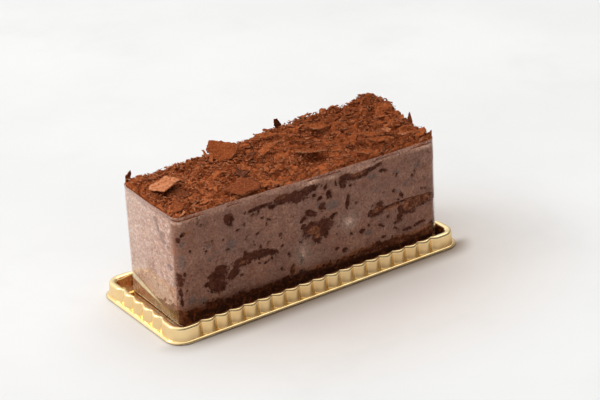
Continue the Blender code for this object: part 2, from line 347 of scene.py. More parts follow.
def flake_material(name):
    """Cocoa-dusted chocolate. The attribute holds, per point: tone (in the core darkened where it lies low, painted
    shade), broken edge, bare side.
    """
    n = Nodes(name)
    tone, edge, bare, _ = n.attribute("flake")
    broad = n.noise(4.0, 3.0, 0.55, seed=2.0)
    dust = n.noise(0.55, 5.0, 0.75, seed=4.0)
    specks = n.noise(0.8, 4.0, 0.65, seed=11.0)
    mixed = n.math("ADD", n.math("MULTIPLY", tone, 0.6), n.math("MULTIPLY", broad, 0.5))
    colour = n.mix(n.ramp(mixed, 0.30, 0.85), rgb(*FLAKE_DARK), rgb(*FLAKE))
    colour = n.mix(n.ramp(dust, 0.50, 0.66, 0.0, 0.85), colour, rgb(*FLAKE_LIGHT))
    colour = n.mix(n.ramp(dust, 0.47, 0.34, 0.0, 0.65), colour, rgb(*FLAKE_DARK))
    colour = n.mix(n.ramp(specks, 0.46, 0.30, 0.0, 0.6), colour, rgb(*FLAKE_DARK))
    worn = n.math("MULTIPLY", n.ramp(edge, 0.35, 1.0), n.ramp(specks, 0.38, 0.6), clamp=True)
    colour = n.mix(n.math("MULTIPLY", worn, 0.75), colour, rgb(*FLAKE_EDGE))
    blotch = n.noise(1.5, 5.0, 0.72, seed=21.0)
    colour = n.mix(n.ramp(blotch, 0.52, 0.66, 0.0, 0.7), colour, rgb(*FLAKE_DARK))
    # painted light: the flakes lighter towards the left end, where the light falls, and darker towards the right
    colour = n.mix(1.0, colour, n.mix(n.ramp(n.place(0), -0.045, 0.045), rgb(1.13, 1.11, 1.09), rgb(0.95, 0.91, 0.88)), "MULTIPLY")
    naked = n.math("MULTIPLY", n.ramp(bare, 0.3, 0.8), n.ramp(dust, 0.72, 0.48), clamp=True)
    colour = n.mix(naked, colour, rgb(*FLAKE_BARE))
    normal = n.bump(dust, 0.30, 0.9)
    p = n.add("ShaderNodeBsdfPrincipled", Normal=normal)
    n.put(p.inputs["Roughness"], n.ramp(bare, 0.2, 0.9, 0.9, 0.68))
    n.put(p.inputs["Base Color"], colour)
    p.inputs["Specular IOR Level"].default_value = 0.10
    return n.finish(p.outputs[0])


def film_material():
    """Clear film: almost nothing face on, a soft mirror at a low angle, faint haze, a painted reflection of the gold
    and a painted highlight at the near right corner.
    """
    n = Nodes("clear_film")
    haze, smear, painted_gold_line_mask, _ = n.attribute("film")
    wavy = n.bump(n.noise(9.0, 2.0, 0.5, seed=1.0), 0.2, 0.3)
    clear = n.add("ShaderNodeBsdfTransparent")
    clear.inputs[0].default_value = rgb(0.99, 0.985, 0.98)
    milk = n.add("ShaderNodeBsdfPrincipled")
    milk.inputs["Base Color"].default_value = rgb(0.88, 0.70, 0.57)
    milk.inputs["Roughness"].default_value = 0.35
    cloud = n.noise(1.6, 5.0, 0.66, seed=3.0)
    amount = n.math("MULTIPLY", haze, n.ramp(cloud, 0.25, 0.75, 0.5, 1.4), clamp=True)
    body = n.add("ShaderNodeMixShader")
    n.put(body.inputs[0], amount)
    n.put(body.inputs[1], clear.outputs[0])
    n.put(body.inputs[2], milk.outputs[0])
    # cream and cocoa dust smeared on the film along its top
    grain = n.noise(0.7, 4.0, 0.65, seed=5.0)
    dusty = n.add("ShaderNodeBsdfPrincipled", Roughness=n.ramp(grain, 0.3, 0.7, 0.6, 0.8))
    n.put(dusty.inputs["Base Color"], n.mix(n.ramp(grain, 0.3, 0.7), rgb(*SMEAR_A), rgb(*SMEAR_B)))
    worn = n.math("ADD", smear, n.math("MULTIPLY", n.math("SUBTRACT", cloud, 0.5), 1.0))
    # painted reflection: where the film bellies out over the tray it shows a line of the gold, painted as a gold colour
    painted_gold_line = n.add("ShaderNodeBsdfPrincipled", Roughness=n.ramp(grain, 0.3, 0.7, 0.3, 0.45))
    n.put(painted_gold_line.inputs["Base Color"], n.mix(n.ramp(painted_gold_line_mask, 0.25, 0.85), rgb(0.72, 0.36, 0.15), n.mix(n.ramp(grain, 0.3, 0.7), rgb(1.0, 0.84, 0.54), rgb(1.0, 0.94, 0.74))))
    lined = n.add("ShaderNodeMixShader")
    n.put(lined.inputs[0], n.math("MULTIPLY", painted_gold_line_mask, n.ramp(cloud, 0.3, 0.6, 0.70, 1.0), clamp=True))
    n.put(lined.inputs[1], body.outputs[0])
    n.put(lined.inputs[2], painted_gold_line.outputs[0])
    coat = n.add("ShaderNodeMixShader")
    n.put(coat.inputs[0], n.math("MULTIPLY", n.ramp(worn, 0.25, 0.85), n.ramp(grain, 0.2, 0.6, 0.55, 0.9)))
    n.put(coat.inputs[1], lined.outputs[0])
    n.put(coat.inputs[2], dusty.outputs[0])
    shine = n.add("ShaderNodeBsdfGlossy")
    shine.inputs["Color"].default_value = rgb(1, 1, 1)
    shine.inputs["Roughness"].default_value = 0.06
    n.put(shine.inputs["Normal"], wavy)
    weight = n.add("ShaderNodeLayerWeight")
    weight.inputs["Blend"].default_value = 0.5
    n.put(weight.inputs["Normal"], wavy)
    mirror = n.math("MULTIPLY", n.math("POWER", weight.outputs["Facing"], 5.0), 1.5, clamp=True)
    top = n.add("ShaderNodeMixShader")
    n.put(top.inputs[0], mirror)
    n.put(top.inputs[1], coat.outputs[0])
    n.put(top.inputs[2], shine.outputs[0])
    return n.finish(top.outputs[0])


def floor_material():
    n = Nodes("pale_table")
    cloud = n.noise(170.0, 5.0, 0.55)
    soft = n.noise(45.0, 4.0, 0.6, seed=2.0)
    colour = n.mix(n.ramp(cloud, 0.35, 0.65), rgb(0.815, 0.815, 0.81), rgb(0.86, 0.86, 0.86))
    colour = n.mix(n.ramp(soft, 0.50, 0.75, 0.0, 0.5), colour, rgb(0.79, 0.79, 0.79))
    # painted bounce light: the warm light the brown cake and the gold tray throw onto the table before them
    space = n.tree.nodes.new("ShaderNodeTexCoord").outputs["Object"]
    move = n.tree.nodes.new("ShaderNodeMapping")
    move.vector_type = "TEXTURE"
    move.inputs["Location"].default_value = (0.012, -0.020, 0.0)
    move.inputs["Scale"].default_value = (0.115, 0.085, 1.0)
    n.tree.links.new(space, move.inputs[0])
    painted_bounce = n.tree.nodes.new("ShaderNodeTexGradient")
    painted_bounce.gradient_type = "SPHERICAL"
    n.tree.links.new(move.outputs[0], painted_bounce.inputs[0])
    colour = n.mix(n.ramp(painted_bounce.outputs[1], 0.0, 0.75), colour, n.mix(1.0, colour, rgb(0.97, 0.885, 0.825), "MULTIPLY"))
    # painted shadow: darkest right at the tray's lip, in front and at the right
    flat = n.tree.nodes.new("ShaderNodeSeparateXYZ")
    n.tree.links.new(space, flat.inputs[0])
    gx = n.math("MAXIMUM", n.math("SUBTRACT", n.math("ABSOLUTE", flat.outputs[0]), 0.0535), 0.0)
    gy = n.math("MAXIMUM", n.math("SUBTRACT", n.math("ABSOLUTE", flat.outputs[1]), 0.0191), 0.0)
    away = n.math("SQRT", n.math("ADD", n.math("MULTIPLY", gx, gx), n.math("MULTIPLY", gy, gy)))
    near = n.math("MULTIPLY", n.ramp(away, 0.0056, 0.0140, 1.0, 0.0), n.ramp(flat.outputs[1], -0.019, -0.024, 0.0, 1.0))
    near = n.math("MULTIPLY", near, n.ramp(flat.outputs[0], -0.060, -0.030, 0.35, 0.92))
    colour = n.mix(near, colour, n.mix(1.0, colour, rgb(0.36, 0.29, 0.23), "MULTIPLY"))
    p = n.add("ShaderNodeBsdfPrincipled", Normal=n.bump(soft, 0.3, 0.08))
    n.put(p.inputs["Base Color"], colour)
    n.put(p.inputs["Roughness"], n.ramp(cloud, 0.3, 0.7, 0.55, 0.7))
    p.inputs["Specular IOR Level"].default_value = 0.2
    return n.finish(p.outputs[0])


# light levels
SKY_LOW, SKY_HIGH, WINDOW, CEILING = 0.33, 1.38, 4.2, 1.2

# albedos, linear
SKIN_A = (0.310, 0.152, 0.106)
SKIN_B = (0.275, 0.142, 0.105)
SKIN_DARK = (0.160, 0.073, 0.050)
SKIN_LIGHT = (0.430, 0.245, 0.185)
BLUE = (0.168, 0.120, 0.106)
PALE = (0.66, 0.370, 0.260)
CHALK = (0.80, 0.62, 0.52)
WET_A = (0.066, 0.019, 0.010)
WET_B = (0.150, 0.050, 0.030)
CRUMB = (0.470, 0.185, 0.095)
CRUMB_DARK = (0.120, 0.036, 0.017)
PRESS_A = (0.480, 0.190, 0.095)
PRESS_B = (0.250, 0.090, 0.045)
FLAKE = (0.470, 0.125, 0.035)
FLAKE_DARK = (0.230, 0.050, 0.013)
FLAKE_LIGHT = (0.600, 0.190, 0.066)
FLAKE_EDGE = (0.660, 0.330, 0.180)
FLAKE_BARE = (0.105, 0.028, 0.010)
SMEAR_A = (0.34, 0.170, 0.115)
SMEAR_B = (0.60, 0.310, 0.215)


# ---------------------------------------------------------------- tray
def rounded_path(points, steps=5):
    """A polyline of (inset, z, share, radius) with its corners turned into arcs."""
    out = []
    for k, (d, z, share, radius) in enumerate(points):
        if k in (0, len(points) - 1) or radius <= 0:
            out.append((d, z, share))
            continue
        here = np.array((d, z))
        before, after = np.array(points[k - 1][:2]), np.array(points[k + 1][:2])
        u, v = before - here, after - here
        lu, lv = np.linalg.norm(u), np.linalg.norm(v)
        cut = min(radius, 0.48 * lu, 0.48 * lv)
        a, b = here + u / lu * cut, here + v / lv * cut
        sa = share + (points[k - 1][2] - share) * cut / lu
        sb = share + (points[k + 1][2] - share) * cut / lv
        for t in np.linspace(0, 1, steps + 1):
            q = (1 - t) ** 2 * a + 2 * t * (1 - t) * here + t * t * b
            out.append((q[0], q[1], (1 - t) ** 2 * sa + 2 * t * (1 - t) * share + t * t * sb))
    return np.array(out)


def tray_columns(per_flute=14, per_corner=14):
    """Centre, outward direction and scallop share once round the tray, in mm."""
    hx, hy = TRAY_L / 2 - TRAY_R, TRAY_W / 2 - TRAY_R
    sides = (
        ((-hx, -hy), (hx, -hy), (0, -1), FLUTES_LONG),
        ((hx, -hy), (hx, hy), (1, 0), FLUTES_SHORT),
        ((hx, hy), (-hx, hy), (0, 1), FLUTES_LONG),
        ((-hx, hy), (-hx, -hy), (-1, 0), FLUTES_SHORT),
    )
    rows = []
    for (ax, ay), (bx, by), (nx, ny), count in sides:
        steps = count * per_flute
        for k in range(steps + 1):
            t = k / steps
            u = (t * count) % 1.0
            inward = abs(2 * u - 1) ** 1.7
            if t * count < 0.5 or count - t * count < 0.5:
                inward = 0.0
            rows.append((ax + (bx - ax) * t, ay + (by - ay) * t, nx, ny, inward))
        start = math.atan2(ny, nx)
        for k in range(1, per_corner):
            a = start + math.pi / 2 * k / per_corner
            rows.append((bx, by, math.cos(a), math.sin(a), 0.0))
    return np.array(rows)


def make_tray():
    depth = 1.30
    thick = 0.42
    upper = rounded_path(
        [
            (0.05, 0.52, 0.00, 0.0),
            (0.78, 1.00, 0.35, 0.30),
            (1.16, 0.94, 0.95, 0.12),
            (1.50, 5.92, 1.00, 1.17),
            (3.95, 5.62, 0.00, 1.17),
            (4.70, 2.00, 0.00, 1.60),
            (6.60, 0.55, 0.00, 1.10),
            (7.40, 0.55, 0.00, 0.0),
        ],
        steps=6,
    )
    # more points up the wall, so that the scallops shade smoothly
    dense = [upper[0]]
    for a, b in zip(upper, upper[1:]):
        pieces = max(1, int(np.hypot(*(b - a)[:2]) / 0.55))
        for k in range(1, pieces + 1):
            dense.append(a + (b - a) * k / pieces)
    upper = np.array(dense)
    tangent = np.gradient(upper[:, :2], axis=0)
    tangent /= np.linalg.norm(tangent, axis=1)[:, None]
    normal = np.stack([tangent[:, 1], -tangent[:, 0]], 1)  # into the sheet
    lower = upper.copy()
    lower[:, :2] += normal * thick
    lower[:, 1] = np.maximum(lower[:, 1], 0.03)
    lower[:, 0] = np.maximum(lower[:, 0], 0.0)
    cols = tray_columns()
    n = len(cols)
    rings = []
    for path in (upper, lower):
        for d, z, share in path:
            r = TRAY_R - d - share * depth * cols[:, 4]
            flat = np.maximum(r, 0.15)
            rings.append(
                np.stack([cols[:, 0] + cols[:, 2] * flat, cols[:, 1] + cols[:, 3] * flat, np.full(n, z)], 1)
            )
    m = len(upper)
    verts = np.concatenate(rings)
    top = grid_quads(m, n)[:, ::-1]
    under = grid_quads(m, n) + m * n
    c = np.arange(n)
    d = (c + 1) % n
    lip = np.stack([c, d, d + m * n, c + m * n], 1)
    # the floor: a fan of triangles from the last ring to its middle, above and below
    faces = [top[:, ::-1], under[:, ::-1], lip[:, ::-1]]
    caps = []
    for base, flip in (((m - 1) * n, False), ((2 * m - 1) * n, True)):
        ring = base + np.arange(n)
        centre = len(verts)
        verts = np.concatenate([verts, verts[ring].mean(0)[None]])
        tri = np.stack([ring, np.roll(ring, -1), np.full(n, centre)], 1)
        caps.append(tri[:, ::-1] if flip else tri)
    obj = make_piece("gold_tray", verts * MM, faces + caps, gold_material(), ("tray",))
    return obj


# ---------------------------------------------------------------- the cake's sides
def side_columns(spacing):
    """Points once round the film's outer face, with normals and the unrolled place s.

    s is 0 at the near left corner, grows along the front and is negative on the left end.
    """
    hx, hy, r = FILM_L / 2, FILM_W / 2, FILM_R
    pts = []
    lines = (
        ((-hx + r, -hy), (hx - r, -hy), -90),
        ((hx, -hy + r), (hx, hy - r), 0),
        ((hx - r, hy), (-hx + r, hy), 90),
        ((-hx, hy - r), (-hx, -hy + r), 180),
    )
    for (ax, ay), (bx, by), deg in lines:
        length = math.hypot(bx - ax, by - ay)
        steps = int(length / spacing)
        a = math.radians(deg)
        for k in range(steps + 1):
            t = k / steps
            pts.append((ax + (bx - ax) * t, ay + (by - ay) * t, math.cos(a), math.sin(a)))
        ccx, ccy = bx - math.cos(a) * r, by - math.sin(a) * r
        arc = max(6, int(math.pi / 2 * r / spacing))
        for k in range(1, arc):
            b = a + math.pi / 2 * k / arc
            pts.append((ccx + r * math.cos(b), ccy + r * math.sin(b), math.cos(b), math.sin(b)))
    p = np.array(pts)
    x, y = p[:, 0], p[:, 1]
    front = (x + hx) - (y + hy)
    back = FILM_L + (y + hy) + (hx - x)
    s = np.where((x - hx) / hx + (hy - y) / hy < 0, front, 0.0)
    # left end and front by the first rule, right end and back by the second
    near = (y < 0) & (np.abs(y + hy) <= r + 0.01) | (x < -hx + r + 0.01)
    s = np.where(near, front, back)
    return p, s


def wobble(s, z, p):
    """How far the film bulges out, in mm: it isn't quite flat, most of all along its top."""
    q = np.stack([p[..., 0], p[..., 1], z * 0.6], -1)
    bulge = 0.16 * vnoise(q, 26.0, 91) + 0.07 * vnoise(q, 9.0, 92)
    return bulge + 0.22 * smooth(34, 41, z) * vnoise(q, 17.0, 93)


def blobs(s, z, table):
    """The highest of 1 - (elliptic distance) over patches (s, z, half length, half height, degrees)."""
    out = np.full(s.shape, -2.0)
    for bs, bz, rs, rz, deg in table:
        near = (np.abs(s - bs) < rs * 2.6 + rz * 2.6 + 2) & (np.abs(z - bz) < rs * 2.6 + rz * 2.6 + 2)
        if not near.any():
            continue
        c, sn = math.cos(math.radians(deg)), math.sin(math.radians(deg))
        ds, dz = s[near] - bs, z[near] - bz
        a, b = (ds * c + dz * sn) / rs, (-ds * sn + dz * c) / rz
        out[near] = np.maximum(out[near], 1 - np.hypot(a, b))
    return out


def front(*rows):
    return [(x + FILM_L / 2, z, a, b, d) for x, z, a, b, d in rows]


def left(*rows):
    return [(-(y + FILM_W / 2), z, a, b, d) for y, z, a, b, d in rows]


# where the cake stands back from the film: front by x, left end by y
VOIDS = front(
    (-38.2, 14.6, 5.0, 3.1, 38), (-37.6, 11.6, 2.7, 2.2, 0), (-32.0, 14.6, 2.8, 1.8, 30),
    (-36.6, 17.9, 2.3, 1.3, 0), (-42.2, 13.6, 1.4, 1.1, 0), (-27.5, 17.9, 4.6, 1.7, 5),
    (-21.5, 18.5, 5.6, 1.6, -3), (-16.6, 17.9, 2.6, 1.0, -20), (-26.0, 19.6, 1.8, 0.7, 0),
    (-33.2, 35.0, 1.0, 1.9, 10), (-31.2, 34.6, 0.9, 1.9, 0), (-32.2, 36.0, 1.5, 0.8, 0),
    (-32.0, 33.0, 1.2, 0.7, 0), (-20.5, 35.6, 5.6, 0.8, 3), (-15.5, 34.5, 1.6, 0.7, 0),
    (-11.0, 36.1, 3.6, 1.7, 0), (-6.5, 35.7, 3.6, 2.0, 0), (-2.0, 36.4, 3.1, 1.7, 0),
    (-5.0, 34.0, 2.2, 1.0, 0), (0.6, 36.7, 2.2, 1.3, 0), (6.0, 35.6, 0.7, 1.2, -15),
    (7.3, 32.4, 1.1, 1.7, 20), (3.2, 32.0, 1.3, 0.6, 20), (1.2, 33.8, 0.8, 0.6, 0),
    (10.0, 35.8, 0.35, 1.7, 0), (16.0, 33.3, 0.8, 0.6, 0), (13.0, 35.4, 1.7, 2.6, 0),
    (14.2, 37.3, 2.8, 0.9, 0), (19.0, 36.0, 5.1, 1.2, 0), (24.0, 36.9, 4.6, 0.8, 10),
    (27.2, 38.0, 1.6, 0.4, 15), (29.6, 35.0, 1.7, 0.7, -10), (4.2, 28.6, 1.4, 1.3, 0),
    (-0.5, 27.4, 2.3, 1.0, -20), (-3.8, 26.0, 1.7, 0.7, 35), (-1.5, 28.4, 1.3, 0.8, 0),
    (-1.0, 21.5, 3.6, 2.6, 20), (4.8, 21.4, 2.9, 2.8, 0), (8.3, 24.0, 1.9, 0.7, 20),
    (1.5, 18.0, 2.1, 2.2, 0), (5.0, 18.4, 1.1, 1.7, 0), (-3.8, 23.4, 1.3, 0.9, 40),
    (14.5, 27.4, 0.7, 2.7, -8), (15.0, 29.6, 0.6, 0.9, 0), (24.2, 20.2, 1.9, 1.2, 30),
    (27.5, 22.3, 1.9, 1.5, 20), (26.8, 19.2, 2.7, 0.8, 5), (33.0, 20.8, 4.2, 0.55, 2),
    (40.5, 20.8, 5.2, 0.55, -3), (47.0, 20.4, 4.8, 0.6, -3), (29.0, 20.5, 2.4, 0.6, 0),
    (44.0, 18.6, 6.2, 1.6, 2), (40.3, 18.0, 3.2, 2.2, -25), (38.3, 16.7, 1.6, 1.0, -30),
    (36.1, 15.2, 1.3, 2.2, 0), (36.6, 18.2, 1.3, 1.6, 0), (20.2, 14.5, 1.2, 0.9, 0),
    (15.6, 14.8, 0.6, 0.5, 0), (28.5, 14.0, 1.7, 0.45, -40), (34.0, 13.6, 0.5, 0.5, 0),
    (44.5, 10.4, 2.6, 0.6, 5), (9.5, 11.2, 0.7, 0.6, 0), (12.5, 9.6, 1.0, 0.8, 0),
    (-50.2, 34.4, 1.4, 0.8, 15), (-52.6, 32.7, 1.3, 1.1, -20), (-10.0, 15.0, 0.6, 0.5, 0),
    (-35.0, 28.2, 0.5, 0.4, 0), (-29.4, 30.0, 0.7, 0.4, 0), (-19.0, 14.8, 1.2, 0.4, 10),
    (-8.8, 8.6, 1.0, 1.9, -15), (-21.6, 15.2, 0.8, 0.35, -30), (-12.5, 18.9, 0.9, 0.4, 20),
    (-50.5, 20.0, 0.6, 0.8, 0), (-50.0, 14.0, 0.5, 0.5, 0), (-47.7, 27.8, 0.6, 0.4, -30),
    (52.0, 36.0, 0.9, 1.6, 0), (43.0, 31.0, 0.3, 0.8, 0), (31.0, 17.0, 0.5, 0.6, 0),
    (23.0, 16.0, 0.5, 0.7, 30), (39.0, 9.6, 2.0, 0.7, 0), (29.0, 9.6, 1.2, 0.6, -10),
) + left(
    (-5.2, 36.2, 1.9, 1.2, 10), (-6.1, 33.6, 1.1, 1.9, 10), (-8.6, 31.8, 2.2, 1.3, 35),
    (-9.4, 29.7, 2.0, 0.9, 0), (-12.5, 28.5, 1.7, 0.8, 10), (-15.2, 33.6, 1.3, 1.0, 20),
    (-12.7, 21.4, 2.0, 1.1, -12), (-17.2, 18.0, 2.9, 2.7, 0), (-15.3, 15.8, 1.5, 1.2, 0),
    (-17.8, 13.0, 1.2, 1.7, 0), (-18.3, 9.5, 0.9, 1.5, 0), (-16.0, 11.0, 0.6, 0.8, 0),
)
# blue-grey and pale spots in the smear on the film
BLUES = front(
    (-32.4, 25.6, 2.3, 2.3, 0), (-40.6, 22.7, 1.3, 0.9, 0), (-38.0, 24.3, 1.2, 0.6, 0),
    (-51.5, 24.5, 2.6, 4.0, 0), (26.0, 28.7, 1.9, 1.0, 0), (44.0, 33.0, 2.2, 1.4, 10),
    (38.6, 27.2, 1.8, 1.0, 0), (41.5, 28.0, 1.1, 0.8, 0), (8.2, 28.3, 4.0, 2.4, 0),
    (25.0, 34.0, 2.6, 1.4, 0), (35.0, 33.2, 1.4, 1.0, 0), (-43.0, 39.3, 3.6, 1.0, 0),
    (3.5, 29.8, 2.2, 1.6, 0), (35.4, 25.8, 1.5, 0.7, 0),
    (22.5, 13.4, 2.6, 1.4, 0), (-44.6, 8.6, 2.6, 1.6, 0), (11.5, 39.4, 3.0, 0.8, 0),
    (-31.0, 22.8, 0.9, 0.7, 0), (31.0, 25.0, 0.7, 0.5, 0),
    (-51.0, 31.0, 1.6, 2.0, 0), (-48.5, 10.0, 2.0, 2.0, 0), (47.0, 27.0, 1.0, 0.8, 0),
)
PALES = front(
    (-4.8, 13.4, 2.3, 4.2, -8), (14.6, 20.0, 3.4, 2.9, 0),
    # the last, tall and narrow at the near right corner, is a painted highlight of the film's bent corner
    (-51.0, 39.0, 2.4, 2.6, 0), (52.6, 30.0, 1.2, 12.0, 0),
)
CRUMBS = front(
    (43.5, 19.7, 9.0, 1.5, 0), (33.5, 20.0, 5.0, 0.9, 2), (28.0, 20.6, 3.0, 1.0, 10),
    (-12.0, 36.8, 2.6, 1.3, 0), (0.8, 20.6, 3.2, 1.8, 0), (2.0, 18.4, 1.5, 1.6, 0),
    (44.5, 18.7, 6.5, 1.7, 2), (40.2, 17.6, 3.0, 2.0, -25), (-27.5, 17.2, 2.2, 0.8, 0),
    (-48.3, 34.7, 1.8, 0.8, 10), (19.5, 36.2, 4.0, 0.9, 0), (-8.2, 8.2, 2.0, 2.2, -20),
    (26.5, 21.0, 2.0, 1.6, 0), (-38.5, 35.0, 0.1, 0.1, 0),
) + left((-6.8, 19.0, 1.6, 1.7, 0), (-8.0, 21.0, 1.0, 0.8, 0))


def scattered(count, seed, s0, s1, z0, z1, small, large):
    rng = np.random.default_rng(seed)
    rows = []
    for _ in range(count):
        size = small * (large / small) ** (rng.random() ** 1.8)
        rows.append((rng.uniform(s0, s1), rng.uniform(z0, z1), size * rng.uniform(0.8, 2.2), size * rng.uniform(0.5, 1.0), rng.uniform(-35, 35)))
    return rows


RIGHT0, BACK0, BACK1 = FILM_L, FILM_L + FILM_W, 2 * FILM_L + FILM_W
# the right end and the back aren't known: gaps of the same kinds and sizes, most along the seams
VOIDS += scattered(16, 5, RIGHT0 + 2, BACK0, 9, 39, 0.5, 2.6)
VOIDS += [(RIGHT0 + 8, 19.6, 6.0, 0.7, 2), (RIGHT0 + 24, 19.0, 7.0, 1.2, -3), (RIGHT0 + 15, 36.0, 6.0, 0.9, 4)]
VOIDS += scattered(52, 6, BACK0 + 1, BACK1 - 1, 9, 39, 0.5, 3.0)
VOIDS += scattered(9, 7, BACK0 + 4, BACK1 - 4, 16.5, 19.5, 1.6, 3.6)
VOIDS += scattered(8, 8, BACK0 + 4, BACK1 - 4, 34.5, 37.5, 1.2, 3.4)
VOIDS += scattered(46, 9, 2, FILM_L - 2, 9, 38, 0.22, 0.55)
BLUES += scattered(9, 11, RIGHT0 + 2, BACK0, 10, 38, 0.8, 2.6)
BLUES += scattered(26, 12, BACK0, BACK1, 10, 38, 0.8, 3.0)
BLUES += scattered(44, 13, 2, FILM_L - 2, 9, 38, 0.35, 1.0)
BLUES += scattered(12, 16, -FILM_W + 3, -2, 9, 38, 0.35, 1.2)
PALES += scattered(4, 14, BACK0, BACK1, 10, 34, 2.0, 4.0)
CRUMBS += scattered(14, 15, RIGHT0, BACK1, 16, 20, 1.5, 4.0)


def base_top(x, y):
    q = np.stack([x, y, 0 * x], -1)
    return BASE_TOP + 0.012 * x + 0.55 * vnoise(q, 13.0, 21) + 0.25 * vnoise(q, 4.0, 22)


def seam_bottom(x, y):
    q = np.stack([x, y, 0 * x], -1)
    return SEAM_Z + 0.018 * x + 0.35 * vnoise(q, 12.0, 23) + 0.15 * vnoise(q, 4.0, 24)


def seam_top(x, y):
    q = np.stack([x, y, 0 * x], -1)
    return SEAM_Z + SEAM_THICK + 0.018 * x + 0.35 * vnoise(q, 13.0, 25) + 0.15 * vnoise(q, 4.0, 26)


def dark_top(x, y):
    """Where the cream's smear on the film ends above the dark base: higher to the right."""
    q = np.stack([x, y, 0 * x], -1)
    return 6.3 + 1.25 * smooth(-6, 26, x) + 0.35 * vnoise(q, 9.0, 27) + 0.25 * vnoise(q, 3.2, 28)


def left_low(s):
    """Foot of the smear on the left end: it slopes down towards the front, then up at the corner."""
    return np.maximum(2.9 + 0.178 * np.clip(-s - 12.0, 0, None), 2.9 + 0.34 * np.clip(s + 12.0, 0, None))


def side_fields(p, s, z):
    """void, blue, pale and crumb at side points; void above 0.5 stands back from the film."""
    x, y = p[..., 0], p[..., 1]
    q = np.stack([x, y, z], -1)
    jag = 0.54 * fbm(q, 2.1, 31, 5, 0.74)
    void = blobs(s, z, VOIDS) + jag
    elsewhere = smooth(-12, -6, y) * (x > -50)
    # tears that follow the middle sponge, and the rough top of the base
    mid = (seam_bottom(x, y) + seam_top(x, y)) / 2
    band = -np.abs(z - mid) / 2.6 + 0.55 * fbm(q, 7.0, 33, 4, 0.55)
    void = np.maximum(void, band - 0.35 * (1 - elsewhere))
    foot = dark_top(x, y)
    grain = fbm(q, 2.4, 34, 5, 0.72)
    void = np.maximum(void, smooth(foot + 2.4, foot - 1.8, z) * 1.5 - 0.85 + 2.1 * grain * smooth(foot + 3.2, foot + 1.2, z) + 0.4 * smooth(foot - 0.8, foot - 2.2, z))
    # the left end is smeared and painted paler, save for its foot; its gaps are misted over, save by the corner
    on_left = smooth(-0.5, -3.0, s) * (s > -FILM_W - 3)
    low = left_low(s) + 0.35 * fbm(q, 5.0, 44, 3)
    hidden = np.where(void > 0, void, 0) * on_left * smooth(-2.0, -4.5, s)
    void = np.where(void > 0, void * (1 - on_left * smooth(-2.0, -4.5, s)), void)
    void = void - 1.2 * on_left * smooth(-1.5, -4.0, s)
    void = np.maximum(void, 1.8 * (fbm(q, 2.6, 35, 4, 0.65) - 0.50))
    blue = np.maximum(blobs(s, z, BLUES) * 1.3 + 0.25, 0) + 0.22 * fbm(q, 6.0, 36)
    pale = np.maximum(blobs(s, z, PALES) * 0.8, 0)
    # a lighter dusty band where flakes and cream smear the film under its edge
    rim = smooth(36.8, 39.6, z + 1.1 * fbm(q * (1, 1, 0), 9.0, 38)) * (0.58 + 0.6 * fbm(q * (1, 1, 2.0), 5.0, 39))
    pale = np.maximum(pale, rim)
    mottle = fbm(q, 1.5, 40, 4, 0.75)
    # the left end paler all over: partly its smear and mist, partly painted light, as that end faces the light
    pale = np.maximum(pale, on_left * (0.66 + 0.10 * smooth(-14, -34, s) + 0.30 * mottle) * smooth(-1, -5, s))
    pale = pale * (1 - 0.8 * smooth(0.0, 0.35, hidden)) * (1 - on_left * smooth(low + 0.3, low - 0.5, z))
    pale = np.maximum(pale, 0.16 + 0.3 * fbm(q, 8.0, 43, 4, 0.55))
    crumb = np.maximum(blobs(s, z, CRUMBS) * 1.2 + 0.2, 0)
    # the base's crumb: bare towards the right, dark and moist at the left
    lean = smooth(-14, 6, x) * (y < 0) + 0.8 * (y >= 0)
    rough = 0.35 + 0.75 * smooth(-0.25, 0.35, fbm(q * (0.45, 0.45, 1), 2.6, 45, 4, 0.6))
    crumb = np.maximum(crumb, (0.34 + 0.62 * lean) * rough * smooth(3.8, 5.4, z) * smooth(foot + 1.9, foot + 0.5, z) * (1 - on_left))
    crumb = np.maximum(crumb, 0.42 * smooth(2.2, 0.6, np.abs(z - mid)) * (0.2 + 0.8 * elsewhere))
    # specks of crumb in the left end's smear, more of them low down, and what its gaps show
    specks = 0.37 + 0.30 * fbm(q, 1.9, 46, 4, 0.72) + 0.50 * fbm(q, 8.0, 48, 2) - 0.2 * smooth(30, 38, z)
    crumb = np.where(on_left > 0.5, specks * (1 - smooth(0.0, 0.3, hidden)), crumb)
    below = on_left * smooth(low + 0.4, low - 0.6, z)
    crumb = np.maximum(crumb, (0.62 + 0.35 * mottle) * below)
    void = np.maximum(void, below * (0.6 * smooth(-24, -8, s) - 0.40 + 0.9 * grain) - 2 * (below < 0.02))
    pale = np.maximum(pale, below * 0.5 * smooth(-20, -30, s))
    crumb = np.maximum(crumb, 0.7 * (np.abs(s) < 2.5) * (0.6 + 0.6 * fbm(q, 3.0, 47, 3)) * smooth(9.5, 6.0, z))
    return np.clip(np.stack([void * 0.6 + 0.5, blue, pale, crumb], -1), 0, 1)


def side_points(p, s, z):
    """The cake's side: just inside the film's wall where it touches, set back in the gaps."""
    f = side_fields(p, s, z)
    q = np.stack([p[..., 0], p[..., 1], z], -1)
    back = smooth(0.44, 0.66, f[..., 0])
    inset = 0.09 + back * (0.75 + 0.35 * fbm(q, 2.0, 41, 4, 0.6))
    inset = inset + 0.05 * np.abs(fbm(q, 1.2, 42, 3)) * back
    # at the right end the lower cream has sunk back, and its layers show as steps
    at_right = smooth(FILM_L - 3.5, FILM_L + 0.5, s) * smooth(BACK0 + 4, BACK0 - 6, s)
    x, y = p[..., 0], p[..., 1]
    under = smooth(seam_bottom(x, y) + 0.35, seam_bottom(x, y) - 0.35, z) * smooth(9.0, 14.5, z)
    inset = inset + at_right * under * 1.15
    inset = inset + at_right * 0.25 * smooth(seam_top(x, y), seam_top(x, y) + 1.5, z) * smooth(37, 30, z)
    out = wobble(s, z, p) - inset
    return np.stack([p[..., 0] + p[..., 2] * out, p[..., 1] + p[..., 3] * out, z], -1), f


